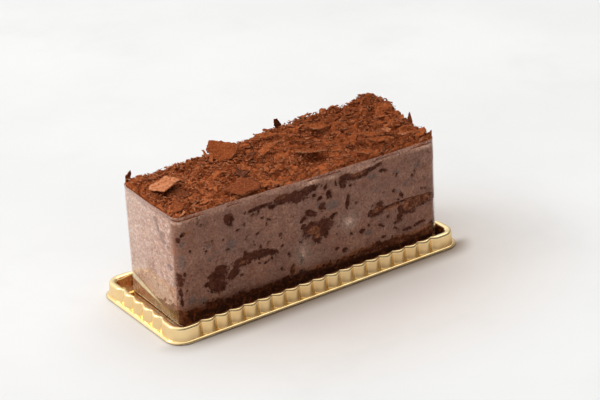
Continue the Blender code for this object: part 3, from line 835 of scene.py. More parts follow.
def make_layer(name, node, material, bottom, top, spacing):
    p, s = side_columns(spacing)
    n = len(p)
    x, y = p[:, 0], p[:, 1]
    z0 = bottom(x, y) if callable(bottom) else np.full(n, float(bottom))
    z1 = top(x, y) if callable(top) else np.full(n, float(top))
    rows = max(3, int(np.ceil((z1 - z0).mean() / spacing)) + 1)
    share = np.linspace(0, 1, rows)[:, None]
    z = z0[None] + (z1 - z0)[None] * share
    pp = np.broadcast_to(p, (rows, n, 4))
    ss = np.broadcast_to(s, (rows, n))
    side, field = side_points(pp, ss, z)
    verts, colour = side.reshape(-1, 3), field.reshape(-1, 4)
    faces = [grid_quads(rows, n)]
    # closed above and below by rings that shrink to the middle line
    for row, flip in ((0, True), (rows - 1, False)):
        ring = side[row]
        prev = len(verts) + np.arange(n)
        verts = np.concatenate([verts, ring])
        colour = np.concatenate([colour, field[row]])
        for share_in in (0.85, 0.55, 0.2, 0.03):
            inner = ring.copy()
            inner[:, 0] *= 1 - (1 - share_in) * (FILM_W / FILM_L)
            inner[:, 1] *= share_in
            start = len(verts)
            verts = np.concatenate([verts, inner])
            colour = np.concatenate([colour, np.tile([0.9, 0.0, 0.0, 0.3], (n, 1))])
            here = start + np.arange(n)
            quad = np.stack([prev, np.roll(prev, -1), np.roll(here, -1), here], 1)
            faces.append(quad[:, ::-1] if flip else quad)
            prev = here
        faces.append((prev[::-1] if flip else prev)[None, :])
    return make_piece(name, placed(verts), faces, material, (node,), {"side": colour})


def make_cake(spacing):
    cream, sponge = side_material("chocolate_cream", False), side_material("chocolate_sponge", True)
    make_layer("base_sponge", "sponge_base", sponge, 0.9, base_top, spacing)
    make_layer("lower_cream", "cream_lower", cream, base_top, seam_bottom, spacing)
    make_layer("middle_sponge", "sponge_middle", sponge, seam_bottom, seam_top, spacing)
    make_layer("upper_cream", "cream_upper", cream, seam_top, CREAM_TOP, spacing)


# ---------------------------------------------------------------- film
def make_film(spacing=0.8):
    p, s = side_columns(spacing)
    n = len(p)
    zs = np.concatenate([[FILM_Z0], np.linspace(FILM_Z0 + 0.3, 9.0, 22), np.linspace(9.7, FILM_Z1 - 0.3, 44), [FILM_Z1]])
    rings, haze = [], []
    for depth, levels in ((0.0, zs), (FILM_T, zs[::-1])):
        for z in levels:
            zz = np.full(n, z)
            q = np.stack([p[:, 0], p[:, 1], zz], -1)
            lift = 0.0
            if z > FILM_Z1 - 0.35:
                lift = 0.16 * vnoise(q, 30.0, 94) + 0.05 * vnoise(q, 6.0, 95)
            out = wobble(s, zz, p) - depth
            rings.append(np.stack([p[:, 0] + p[:, 2] * out, p[:, 1] + p[:, 3] * out, zz + lift], -1))
            # the left end is misty, more so towards the back; the front is clear
            on_left = smooth(-0.5, -4.0, s) * (s > -FILM_W - 4)
            h = on_left * (0.02 + 0.26 * smooth(-10, -36, s)) * smooth(0.0, 1.5, zz - left_low(s))
            h = h + 0.10 * smooth(39.6, 40.8, zz) * (1 - on_left)
            # two clouds of mist in the middle of the front
            for cx, cz, rx, rz, dense in ((-4.8, 13.4, 2.6, 4.0, 0.24), (14.6, 20.2, 3.6, 2.9, 0.26), (-0.5, 11.0, 2.5, 2.0, 0.10)):
                mist = np.exp(-(((p[:, 0] - cx) / rx) ** 2) - ((zz - cz) / rz) ** 2)
                h = h + dense * mist * (p[:, 1] < 0) * (0.8 + 0.5 * vnoise(q, 2.4, 93))
            # painted highlight: a whitish line down the near right corner, where the bent film would reflect the bright
            # room
            h = h + 0.55 * np.exp(-(((s - FILM_L - 0.4) / 0.9) ** 2))
            edge_z = zz + 1.3 * vnoise(q * (1, 1, 0), 9.0, 97) + 0.5 * vnoise(q * (1, 1, 0), 2.6, 98)
            m = smooth(37.3, 40.3, edge_z) * (0.72 + 0.35 * vnoise(q, 5.0, 99))
            # painted reflection: a line of the tray's gold along the foot of the film's left end
            g = np.exp(-(((zz - left_low(s) - 0.4) / (0.70 + 0.60 * smooth(-14, -34, s))) ** 2)) * on_left * (0.30 + 1.10 * smooth(-9, -26, s)) * smooth(-4.0, -12.0, s)
            haze.append(np.stack([h, m, g], -1))
    rows = len(rings)
    verts, colour = np.concatenate(rings), np.concatenate(haze)
    faces = grid_quads(rows, n)
    last = (rows - 1) * n + np.arange(n)
    first = np.arange(n)
    seam = np.stack([last, np.roll(last, -1), np.roll(first, -1), first], 1)
    obj = make_piece(
        "film_band", placed(verts), [faces, seam], film_material(), ("film_wrap",), {"film": np.clip(colour, 0, 1)}
    )
    return obj


# ---------------------------------------------------------------- flake heap
def heap_z(x, y):
    """The heap's outline, as the CAD model has it."""
    ridge = 42.7 + 4.6 * smooth(-28, 22, x) - 1.0 * smooth(44, 52, x)
    ridge = ridge + 1.0 * np.exp(-(((x + 15) / 5) ** 2)) + 1.5 * np.exp(-(((x - 46.5) / 6.0) ** 2))
    t = smooth(0, 1, 0.5 * (y + 17.5) / 32) ** 0.8 * 1.74
    before = 41.5 + (ridge - 41.5) * t
    behind = ridge - (ridge - 42.0) * (np.clip(y - 14.5, 0, None) / 3.35) ** 2
    return np.where(y < 14.5, before, behind)


def inside(x, y, margin):
    """Distance to the film's outer face in mm, less the margin; negative outside."""
    hx, hy, r = FILM_L / 2, FILM_W / 2, FILM_R
    ax, ay = np.abs(x) - (hx - r), np.abs(y) - (hy - r)
    out = np.hypot(np.maximum(ax, 0), np.maximum(ay, 0)) + np.minimum(np.maximum(ax, ay), 0)
    return r - out - margin


def surface(x, y):
    """The heap's surface at one place, with its mounds and dips."""
    x, y = np.array([x], float), np.array([y], float)
    return float((heap_z(x, y) + relief(x, y))[0])


CAVES = ((-42.0, -1.4, 4.2, 4.0, 3.0), (9.0, -8.4, 4.8, 3.0, 3.6), (-21.5, 14.6, 1.3, 2.0, 1.6), (24.0, 12.0, 3.2, 1.2, 1.2), (33.0, 12.2, 1.8, 1.0, 1.2), (-26.8, 6.4, 1.4, 0.8, 1.0), (-43.5, -8.2, 2.6, 1.6, 1.0), (-2.0, 5.6, 1.6, 1.2, 1.2), (-11.5, 3.6, 1.4, 1.0, 1.0), (37.8, 1.0, 1.4, 1.0, 1.0), (-9.6, -6.8, 0.9, 1.2, 1.0))


def relief(x, y):
    """Mounds and dips of the heap, in mm."""
    q = np.stack([x, y, 0 * x], -1)
    return 1.15 * fbm(q, 7.5, 51, 3, 0.6) + 0.35 * np.abs(fbm(q, 3.0, 57, 2, 0.5)) - 0.1


def plate_relief(x, y, z, tone, edge, rng, count, small, large):
    """Overlapping thin plates laid on a height field: x, y, z, tone and edge are grids."""
    for _ in range(count):
        cx, cy = rng.uniform(-FILM_L / 2, FILM_L / 2), rng.uniform(-FILM_W / 2, FILM_W / 2)
        size = small * (large / small) ** (rng.random() ** 1.7)
        a, b = size * rng.uniform(0.5, 0.9), size * rng.uniform(0.22, 0.55)
        turn = rng.normal(-0.35, 0.9)
        reach = 1.15 * a
        i = np.nonzero((np.abs(x - cx) < reach) & (np.abs(y - cy) < reach))
        if not len(i[0]):
            continue
        dx, dy = x[i] - cx, y[i] - cy
        u = dx * math.cos(turn) + dy * math.sin(turn)
        v = -dx * math.sin(turn) + dy * math.cos(turn)
        # a convex outline of five or six straight broken edges
        sides = rng.integers(5, 7)
        angles = (np.arange(sides) + rng.uniform(-0.3, 0.3, sides)) / sides * 2 * math.pi
        d = np.full(len(u), -9.0)
        for k in angles:
            d = np.maximum(d, u / a * math.cos(k) + v / b * math.sin(k) - rng.uniform(0.62, 0.95))
        d = d * min(a, b)
        slope = rng.normal(0, 0.17, 2)
        level = float(surface(cx, cy)) + rng.uniform(-1.75, 0.05)
        for hx, hy, rx, ry, deep in CAVES:
            level -= deep * math.exp(-((((cx - hx) / rx) ** 2 + ((cy - hy) / ry) ** 2) ** 1.5))
        plate = level + slope[0] * u + slope[1] * v + 0.10 * size * (u / a) ** 2 * rng.uniform(-0.5, 1)
        plate = plate - np.clip(d + 0.12, 0, 1) * 2.2
        hit = (d < 0.14) & (plate > z[i])
        pick = (i[0][hit], i[1][hit])
        z[pick] = plate[hit]
        tone[pick] = rng.random()
        edge[pick] = smooth(-0.30, -0.02, d[hit])


def base_core_z(x, y):
    """Top of the core before its plates: uneven, torn and grainy."""
    q = np.stack([x, y, 0 * x], -1)
    z = heap_z(x, y) - 1.6 + relief(x, y)
    for cx, cy, rx, ry, deep in CAVES:
        z = z - deep * np.exp(-((((x - cx) / rx) ** 2 + ((y - cy) / ry) ** 2) ** 1.5))
    return z


def make_core(material, step=0.34):
    hx, hy, r = FILM_L / 2 - 0.50, FILM_W / 2 - 0.50, FILM_R - 0.50

    def spaced(half):
        inner = int(2 * (half - r) / step)
        mid = (-1 + 2 * np.arange(inner + 1) / inner) * (half - r)
        ends = half - r * (1 - np.arange(1, 9) / 8)
        return np.concatenate([-ends[::-1], mid, ends])

    us, vs = spaced(hx), spaced(hy)
    x, y = np.meshgrid(us, vs, indexing="ij")
    dx, dy = np.abs(x) - (hx - r), np.abs(y) - (hy - r)
    both = (dx > 0) & (dy > 0)
    k = np.where(both, np.maximum(dx, dy) / np.maximum(np.hypot(dx, dy), 1e-9), 1.0)
    x = np.where(both, np.sign(x) * (hx - r + dx * k), x)
    y = np.where(both, np.sign(y) * (hy - r + dy * k), y)
    nu, nv = x.shape
    z = base_core_z(x, y)
    tone, rim_tone = 0.5 + 0.4 * fbm(np.stack([x, y, z], -1), 3.0, 56), 0 * x
    rng = np.random.default_rng(31)
    plate_relief(x, y, z, tone, rim_tone, rng, 1100, 1.6, 4.6)
    plate_relief(x, y, z, tone, rim_tone, rng, 2200, 0.7, 2.0)
    q = np.stack([x, y, z], -1)
    z = z + 0.40 * fbm(q, 1.6, 52, 3, 0.7) + 0.20 * fbm(q, 0.7, 53, 2, 0.6)
    near = inside(x, y, 0.5)
    z = z - 0.5 * np.clip(1 - near / 2.0, 0, 1) ** 1.5
    z = np.maximum(z, CREAM_TOP + 0.5)
    top = np.stack([x, y, z], -1).reshape(-1, 3)
    idx = np.arange(nu * nv).reshape(nu, nv)
    quads = np.stack([idx[:-1, :-1], idx[1:, :-1], idx[1:, 1:], idx[:-1, 1:]], -1).reshape(-1, 4)
    edge = np.concatenate([idx[:-1, 0], idx[-1, :-1], idx[:0:-1, -1], idx[0, :0:-1]])
    n = len(edge)
    rings = [edge]
    verts = top
    rim = top[edge]
    for share in (0.66, 0.33, 0.0):
        ring = rim.copy()
        low = CREAM_TOP - 0.02
        ring[:, 2] = low + (rim[:, 2] - low) * share
        rings.append(len(verts) + np.arange(n))
        verts = np.concatenate([verts, ring])
    faces = [quads]
    for a, b in zip(rings, rings[1:]):
        faces.append(np.stack([b, np.roll(b, -1), np.roll(a, -1), a], 1))
    centre = len(verts)
    verts = np.concatenate([verts, [[0, 0, CREAM_TOP - 0.02]]])
    last = rings[-1]
    faces.append(np.stack([np.roll(last, -1), last, np.full(n, centre)], 1))
    n_extra = len(verts) - len(top)
    tone = np.concatenate([tone.ravel(), np.full(n_extra, 0.5)])
    rim_tone = np.concatenate([rim_tone.ravel(), np.zeros(n_extra)])
    # painted shade: the core's tone darker, and its chocolate barer, where it lies low below the heap's surface
    low_lying_shade = np.clip((heap_z(verts[:, 0], verts[:, 1]) + relief(verts[:, 0], verts[:, 1]) - 0.9 - verts[:, 2]) / 1.5, 0, 1)
    colour = np.stack([np.clip(tone * 0.8 + 0.1 - 0.5 * low_lying_shade, 0, 1), 0.55 * rim_tone * (1 - low_lying_shade), 0.12 + 0.38 * low_lying_shade], -1)
    return make_piece(
        "flake_core", placed(verts), faces, material, ("flake_topping",), {"flake": colour}, shade=False
    )


class Flakes:
    """Collects many loose flakes into one mesh."""

    def __init__(self):
        self.verts, self.tris, self.quads, self.colour, self.count = [], [], [], [], 0

    def add(self, verts, tris, quads, colour):
        if len(tris):
            self.tris.append(np.asarray(tris) + self.count)
        if len(quads):
            self.quads.append(np.asarray(quads) + self.count)
        self.verts.append(verts)
        self.colour.append(colour)
        self.count += len(verts)

    def make(self, name, material):
        faces = []
        if self.quads:
            faces.append(np.concatenate(self.quads))
        if self.tris:
            faces.append(np.concatenate(self.tris))
        return make_piece(
            name, placed(np.concatenate(self.verts)), faces, material,
            colours={"flake": np.clip(np.concatenate(self.colour), 0, 1)}, shade=False,
        )


def turned(points, yaw, tilt, lean):
    """Points turned by tilt about x, lean about y, then yaw about z, in radians."""
    ca, sa = math.cos(tilt), math.sin(tilt)
    cb, sb = math.cos(lean), math.sin(lean)
    cc, sc = math.cos(yaw), math.sin(yaw)
    rx = np.array([[1, 0, 0], [0, ca, -sa], [0, sa, ca]])
    ry = np.array([[cb, 0, sb], [0, 1, 0], [-sb, 0, cb]])
    rz = np.array([[cc, -sc, 0], [sc, cc, 0], [0, 0, 1]])
    return points @ (rz @ ry @ rx).T


def outline(rng, length, width, sides, jag):
    """A torn, angular outline: a few straight broken edges with uneven corners."""
    a = np.sort(rng.uniform(0, 2 * math.pi, sides) * 0.35 + np.linspace(0, 2 * math.pi, sides, endpoint=False) * 0.65 + rng.uniform(0, 6.28))
    r = rng.uniform(0.72, 1.12, sides)
    pts = np.stack([np.cos(a) * r * length / 2, np.sin(a) * r * width / 2], 1)
    dense = []
    for k in range(sides):
        p, q = pts[k], pts[(k + 1) % sides]
        steps = max(1, int(np.linalg.norm(q - p) / jag))
        for i in range(steps):
            t = i / steps
            w = p + (q - p) * t
            if i:
                w = w + rng.normal(0, 0.10 * min(jag, 0.9), 2)
            dense.append(w)
    return np.array(dense)


def sheet_flake(rng, ring, thick, curl, twist, rough, levels=2):
    """A thin shard on that outline: upper and lower faces joined by a broken edge."""
    n = len(ring)
    centre = ring.mean(0)
    shares = np.linspace(1, 0, levels + 1)[:-1]
    layers = [centre + (ring - centre) * s for s in shares]
    flat = np.concatenate(layers + [centre[None]])
    size = max(np.ptp(ring[:, 0]), np.ptp(ring[:, 1]), 0.5)
    u, v = flat[:, 0] / size, flat[:, 1] / size
    bend = curl * size * u * u + twist * size * u * v
    seed = int(rng.integers(1e6))
    q = np.concatenate([flat, np.zeros((len(flat), 1))], 1) + seed % 97
    bumps = rough * fbm(q, 1.1, seed % 1000, 4, 0.75)
    top = np.concatenate([flat, (bend + bumps + thick / 2)[:, None]], 1)
    # the lower outline is jittered a little, so that the broken edge shows
    low = np.concatenate([flat, (bend + bumps * 0.6 - thick / 2)[:, None]], 1)
    low[:n, :2] += rng.normal(0, 0.10 * thick, (n, 2))
    verts = np.concatenate([top, low])
    m = len(flat)
    i = np.arange(n)
    j = (i + 1) % n
    quads, tris = [], []
    for k in range(levels - 1):
        a, b = k * n, (k + 1) * n
        quads.append(np.stack([a + i, a + j, b + j, b + i], 1))
        quads.append(np.stack([m + a + j, m + a + i, m + b + i, m + b + j], 1))
    a = (levels - 1) * n
    tris.append(np.stack([a + i, a + j, np.full(n, m - 1)], 1))
    tris.append(np.stack([m + a + j, m + a + i, np.full(n, 2 * m - 1)], 1))
    quads.append(np.stack([j, i, m + i, m + j], 1))
    edge = np.zeros(2 * m)
    edge[:n] = 1.0
    edge[m : m + n] = 1.0
    under = np.concatenate([np.zeros(m), np.ones(m)])
    return verts, np.concatenate(tris), np.concatenate(quads), edge, under


def kept_inside(verts):
    """Nothing pokes out through the film."""
    hx, hy = FILM_L / 2 - 0.6, FILM_W / 2 - 0.6
    verts = verts.copy()
    verts[:, 0] = np.clip(verts[:, 0], -hx, hx)
    verts[:, 1] = np.clip(verts[:, 1], -hy, hy)
    depth = inside(verts[:, 0], verts[:, 1], 0.55)
    pull = np.where(depth < 0, -depth, 0)
    r = np.hypot(verts[:, 0], verts[:, 1]) + 1e-6
    verts[:, 0] -= verts[:, 0] / r * pull
    verts[:, 1] -= verts[:, 1] / r * pull
    return verts


def cut_flake(store, rng, corners, thick, tone, bare, edge_gain, rough=0.55, jag=0.45):
    """A flake through the given corners, laid on their mean plane."""
    pts = np.array(corners, float)
    centre = pts.mean(0)
    axes = np.linalg.svd(pts - centre)[2]
    if axes[2][2] < 0:
        axes[2] = -axes[2]
    if np.dot(np.cross(axes[0], axes[1]), axes[2]) < 0:
        axes[1] = -axes[1]
    flat = (pts - centre) @ axes.T
    area2 = np.sum(flat[:, 0] * np.roll(flat[:, 1], -1) - np.roll(flat[:, 0], -1) * flat[:, 1])
    if area2 < 0:
        flat = flat[::-1]
    ring = []
    for k in range(len(flat)):
        p, q = flat[k, :2], flat[(k + 1) % len(flat), :2]
        steps = max(1, int(np.linalg.norm(q - p) / jag))
        for i in range(steps):
            w = p + (q - p) * i / steps
            ring.append(w + rng.normal(0, 0.11, 2) if i else w)
    verts, tris, quads, edge, under = sheet_flake(rng, np.array(ring), thick, rng.uniform(0.0, 0.05), rng.normal(0, 0.03), rough, 7)
    verts = kept_inside(centre + verts @ axes)
    chalk = 0.88 if tone >= 1.0 else 0.0
    colour = np.stack(
        [np.full(len(verts), min(tone, 1.0)), np.maximum(edge * edge_gain, chalk), np.maximum(bare, under * 0.35)], -1
    )
    store.add(verts, tris, quads, colour)


def lay_flake(store, rng, x, y, length, width, thick, yaw, tilt, lean, lift, tone, jag, levels=2, bare=None, sides=None, curl=None, edge_gain=1.0, rough=0.12):
    ring = outline(rng, length, width, sides or int(rng.integers(4, 8)), jag)
    curl = rng.normal(0, 0.10) if curl is None else curl
    verts, tris, quads, edge, under = sheet_flake(rng, ring, thick, curl, rng.normal(0, 0.10), rough, levels)
    verts = turned(verts, yaw, tilt, lean)
    z = surface(x, y) + lift
    verts = verts + (x, y, z)
    verts[:, 2] = np.minimum(verts[:, 2], z - lift + 1.25)
    verts = kept_inside(verts)
    if bare is None:
        bare = 0.15
    colour = np.stack([np.full(len(verts), tone), edge * edge_gain, np.maximum(bare, under * 0.35)], -1)
    store.add(verts, tris, quads, colour)


def free_spot(rng):
    while True:
        x, y = rng.uniform(-FILM_L / 2, FILM_L / 2), rng.uniform(-FILM_W / 2, FILM_W / 2)
        if inside(np.array([x]), np.array([y]), 0.7)[0] > 0:
            return x, y


def in_cave(x, y, grow=1.0):
    return any(((x - cx) / (rx * grow)) ** 2 + ((y - cy) / (ry * grow)) ** 2 < 1 for cx, cy, rx, ry, _ in CAVES[:2])


def make_flakes(material):
    rng = np.random.default_rng(20)
    # medium flakes, shingled over each other
    medium = Flakes()
    for _ in range(430):
        x, y = free_spot(rng)
        if in_cave(x, y, 1.05):
            continue
        size = 1.5 + 2.6 * rng.random() ** 2.0
        steep = rng.random() < 0.12
        spread = 0.55 if steep else 0.26
        lay_flake(
            medium, rng, x, y, size * rng.uniform(1.0, 1.8), size * rng.uniform(0.35, 0.8), rng.uniform(0.18, 0.40),
            rng.normal(-0.35, 0.9) + rng.choice([0, math.pi]), rng.normal(0, spread), rng.normal(0, spread * 0.8),
            rng.uniform(-0.9, 0.35), 0.15 + 0.75 * rng.random(), 0.5, 3, curl=rng.normal(0, 0.28),
            bare=0.75 if rng.random() < 0.04 else None, rough=0.36,
        )
    medium.make("flakes_medium", material)

    # chips, with some shreds and curls, most of them lying along the heap
    small = Flakes()
    for _ in range(3000):
        x, y = free_spot(rng)
        if in_cave(x, y, 0.85) and rng.random() < 0.9:
            continue
        size = 0.6 + 1.3 * rng.random() ** 1.8
        slim = rng.random() < 0.10
        lay_flake(
            small, rng, x, y, size * rng.uniform(1.0, 1.9), size * (rng.uniform(0.18, 0.35) if slim else rng.uniform(0.45, 0.9)),
            rng.uniform(0.15, 0.34), rng.normal(-0.35, 1.1) + rng.choice([0, math.pi]), rng.normal(0, 0.32), rng.normal(0, 0.26),
            rng.uniform(-0.85, 0.0), 0.15 + 0.8 * rng.random(), 0.9, 1, sides=int(rng.integers(4, 7)), curl=rng.normal(0, 0.25),
            bare=0.8 if rng.random() < 0.02 else None,
        )
    small.make("flakes_small", material)

    grains = Flakes()
    octa = np.array([(1, 0, 0), (-1, 0, 0), (0, 1, 0), (0, -1, 0), (0, 0, 1), (0, 0, -1)], float)
    tri = np.array([(0, 2, 4), (2, 1, 4), (1, 3, 4), (3, 0, 4), (2, 0, 5), (1, 2, 5), (3, 1, 5), (0, 3, 5)])
    for _ in range(9000):
        x, y = free_spot(rng)
        size = 0.10 + 0.22 * rng.random() ** 2
        v = octa * rng.uniform(0.6, 1.2, (6, 1)) * size
        v = turned(v, rng.uniform(0, 6), rng.uniform(0, 3), rng.uniform(0, 3))
        z = surface(x, y) + rng.uniform(-0.7, 0.30)
        if in_cave(x, y, 0.9):
            z -= 1.4
        v = v + (x, y, z)
        grains.add(v, tri, [], np.tile([rng.random(), 0.3, 0.1], (6, 1)))
    grains.make("flake_crumbs", material)


def hero_flakes(material):
    """The flakes that stand out: each by its place, size, turn and tone."""
    rng = np.random.default_rng(7)
    big = Flakes()
    # what it is, thickness, tone, bareness, worn edge, corners in mm
    table = (
        ("pale flake tipped up over the left hollow", 0.35, 1.0, 0.0, 1.0, [(-48.7, 5.6, 42.7), (-40.5, 8.9, 43.3), (-38.9, 1.7, 44.1), (-47.7, -3.6, 44.2), (-50.0, 3.2, 42.9)]),
        ("bare piece in the left hollow", 0.3, 0.25, 0.6, 0.8, [(-45.9, -0.7, 41.5), (-45.3, -6.0, 41.3), (-41.0, -6.6, 41.5), (-39.6, -7.0, 41.7), (-39.6, -2.7, 41.8), (-40.9, 1.8, 41.6)]),
        ("small flake at the near left corner", 0.35, 0.2, 0.45, 0.7, [(-47.9, -9.3, 42.4), (-46.8, -10.0, 42.7), (-45.7, -13.1, 42.5), (-48.2, -16.0, 42.0), (-50.5, -15.2, 41.7), (-50.7, -12.8, 41.8)]),
        ("curled strip", 0.25, 0.9, 0, 1.0, [(-52.4, -13.3, 41.6), (-50.1, -10.7, 42.5), (-49.7, -11.4, 42.5), (-52.1, -14.2, 41.6)]),
        ("upright sliver", 0.2, 1.0, 0, 1.0, [(-51.2, -18.6, 40.8), (-47.9, -16.2, 41.9), (-47.7, -16.9, 41.9), (-51.0, -19.4, 40.8)]),
        ("big flat flake", 0.5, 0.15, 0.50, 0.6, [(-29.7, -11.7, 42.2), (-20.8, -7.7, 42.9), (-18.8, -10.4, 43.0), (-17.7, -15.5, 42.7), (-21.6, -20.3, 42.2), (-25.6, -19.6, 41.8), (-26.3, -18.5, 41.8)]),
        ("bare triangle", 0.4, 0.1, 1.0, 0.5, [(-19.2, -1.0, 43.9), (-19.0, -4.8, 43.8), (-16.4, -6.6, 43.7), (-20.5, -9.1, 43.3), (-21.1, -6.9, 43.4)]),
        ("bare diamond", 0.35, 0.15, 0.8, 0.5, [(-10.5, 3.5, 45.0), (-8.7, 4.6, 46.1), (-8.6, 2.2, 45.2), (-11.0, 0.3, 44.4)]),
        ("leaning shard", 0.6, 0.30, 0.15, 0.7, [(-20.2, 16.0, 43.6), (-18.2, 17.4, 47.8), (-14.6, 14.2, 47.2), (-11.2, 11.2, 46.2), (-11.4, 8.8, 44.7), (-15.6, 6.8, 43.7), (-20.0, 8.4, 42.8)]),
        ("spiky flake", 0.3, 0.6, 0, 1.0, [(-21.2, 17.6, 44.2), (-20.8, 16.6, 44.7), (-21.0, 12.7, 43.4), (-22.1, 13.0, 43.1)]),
        ("spiky flake", 0.3, 0.6, 0.1, 1.0, [(-21.0, 13.6, 43.9), (-19.6, 12.9, 44.3), (-21.9, 8.5, 42.9), (-23.1, 9.1, 42.7)]),
        ("curl at the far left corner", 0.35, 0.2, 0.6, 0.6, [(-52.0, 16.4, 41.9), (-51.7, 16.4, 43.7), (-50.7, 16.4, 44.7), (-49.6, 16.4, 45.3), (-49.4, 16.4, 44.3), (-50.0, 16.4, 42.9), (-51.2, 16.4, 41.5)]),
        ("bare shard on the ridge", 0.4, 0.1, 0.9, 0.5, [(7.1, 15.8, 46.6), (7.4, 15.8, 49.0), (8.7, 15.8, 48.8), (10.2, 15.8, 46.0), (9.1, 15.8, 45.0)]),
        ("slab over the middle hollow", 0.5, 0.35, 0.3, 1.0, [(4.4, -2.2, 43.1), (9.2, -4.4, 43.3), (13.1, -7.6, 43.2), (12.3, -9.1, 43.9), (8.2, -6.7, 44.1), (4.0, -3.9, 43.8)]),
        ("slab", 0.45, 0.6, 0, 1.0, [(14.0, 9.8, 46.7), (18.3, 7.7, 46.9), (23.3, 3.7, 46.2), (17.8, 4.3, 45.9)]),
        ("thin plate", 0.4, 0.7, 0, 1.2, [(26.9, -7.6, 45.8), (30.9, -9.2, 46.0), (34.5, -13.0, 45.5), (30.3, -11.2, 45.2)]),
        ("thin plate", 0.4, 0.7, 0, 1.2, [(27.7, -11.6, 44.9), (33.2, -13.6, 45.1), (36.2, -16.2, 44.8), (30.6, -14.7, 44.4)]),
        ("thin plate", 0.4, 0.6, 0, 1.0, [(20.4, -14.3, 43.3), (24.7, -16.3, 43.6), (28.6, -18.4, 43.3), (24.0, -18.1, 42.9)]),
        ("pale chip", 0.35, 1.0, 0, 1.0, [(36.3, -7.9, 45.3), (38.3, -8.0, 45.4), (39.4, -9.6, 45.2), (38.0, -10.8, 44.7), (36.5, -9.6, 44.8)]),
        ("pale chip", 0.35, 1.0, 0, 1.0, [(39.8, -13.0, 44.3), (43.4, -13.8, 44.2), (42.0, -14.8, 43.7), (39.8, -14.0, 43.8)]),
        ("leaning plate", 0.4, 0.55, 0, 0.8, [(24.8, -6.6, 45.6), (27.9, -4.8, 46.4), (26.5, -7.4, 45.4), (22.7, -11.4, 43.8), (22.8, -9.1, 44.3)]),
        ("streak", 0.25, 0.9, 0, 1.0, [(38.0, -7.7, 45.7), (43.6, -5.6, 47.2), (44.4, -6.0, 47.2), (38.5, -8.6, 45.6)]),
        ("tip at the right end", 0.35, 0.2, 0.5, 0.6, [(51.9, -1.6, 41.4), (51.9, -2.2, 43.6), (51.9, -3.2, 45.9), (51.9, -4.2, 43.9), (51.9, -5.3, 41.4)]),
        ("tip at the right end", 0.35, 0.7, 0, 1.0, [(51.0, -11.2, 41.6), (51.4, -12.6, 44.2), (51.4, -14.0, 42.6), (49.6, -14.6, 41.0), (47.2, -13.8, 40.9), (47.0, -12.6, 41.6)]),
        ("curl at the near right corner", 0.3, 0.2, 0.6, 0.6, [(51.6, -16.6, 43.8), (51.6, -17.6, 43.3), (51.4, -17.2, 41.8), (49.6, -17.6, 40.8), (49.0, -16.4, 41.2), (51.0, -15.8, 42.2)]),
        ("plate right of the ridge", 0.4, 0.6, 0, 1.0, [(-2.3, 12.8, 46.8), (2.3, 10.8, 47.0), (4.6, 8.4, 46.4), (-1.4, 9.6, 46.0)]),
        ("plate behind the bare diamond", 0.4, 0.6, 0, 1.0, [(-7.5, 2.6, 45.3), (-1.4, 4.9, 46.0), (-2.0, 2.2, 45.5), (-7.7, -0.4, 44.5)]),
    )
    for _, thick, tone, bare, edge, corners in table:
        cut_flake(big, rng, corners, thick, tone, bare, edge)
    # flat flakes of middle size, lying along the heap as shingles
    for _ in range(40):
        x, y = free_spot(rng)
        if in_cave(x, y, 1.4):
            continue
        size = rng.uniform(3.0, 5.6)
        lay_flake(
            big, rng, x, y, size, size * rng.uniform(0.4, 0.7), rng.uniform(0.25, 0.45), rng.normal(-0.35, 0.5),
            rng.normal(0.10, 0.16), rng.normal(0, 0.16), rng.uniform(-0.5, 0.10), 0.15 + 0.5 * rng.random(), 0.45, 5,
            rough=0.50, curl=rng.normal(0, 0.12),
        )
    # shreds standing in the two hollows
    for cx, cy, rx, ry, deep in CAVES[:2]:
        for _ in range(7):
            a, t = rng.uniform(0, 6.28), rng.random() ** 0.5
            lay_flake(
                big, rng, cx + rx * 0.8 * t * math.cos(a), cy + ry * 0.8 * t * math.sin(a), rng.uniform(1.6, 3.6), rng.uniform(0.8, 1.6),
                0.3, rng.uniform(-0.5, 0.5), rng.normal(0, 0.4), rng.normal(0, 0.4), -deep * rng.uniform(0.75, 1.0),
                rng.uniform(0.0, 0.4), 0.6, 2, bare=rng.choice([0.2, 0.8]), edge_gain=0.4,
            )
    big.make("flakes_large", material)


# ---------------------------------------------------------------- stage
def make_stage():
    mesh = bpy.data.meshes.new("table")
    size = 4.0
    mesh.from_pydata([(-size, -size, 0), (size, -size, 0), (size, size, 0), (-size, size, 0)], [], [(0, 1, 2, 3)])
    mesh.materials.append(floor_material())
    table = bpy.data.objects.new("table", mesh)
    scene.collection.objects.link(table)


def area(name, place, target, size, power, colour=(1, 1, 1)):
    data = bpy.data.lights.new(name, "AREA")
    data.shape, data.size, data.size_y = "RECTANGLE", size[0], size[1]
    data.energy, data.color = power, colour
    lamp = bpy.data.objects.new(name, data)
    lamp.location = place
    lamp.rotation_euler = (Vector(target) - Vector(place)).to_track_quat("-Z", "Y").to_euler()
    scene.collection.objects.link(lamp)
    return lamp


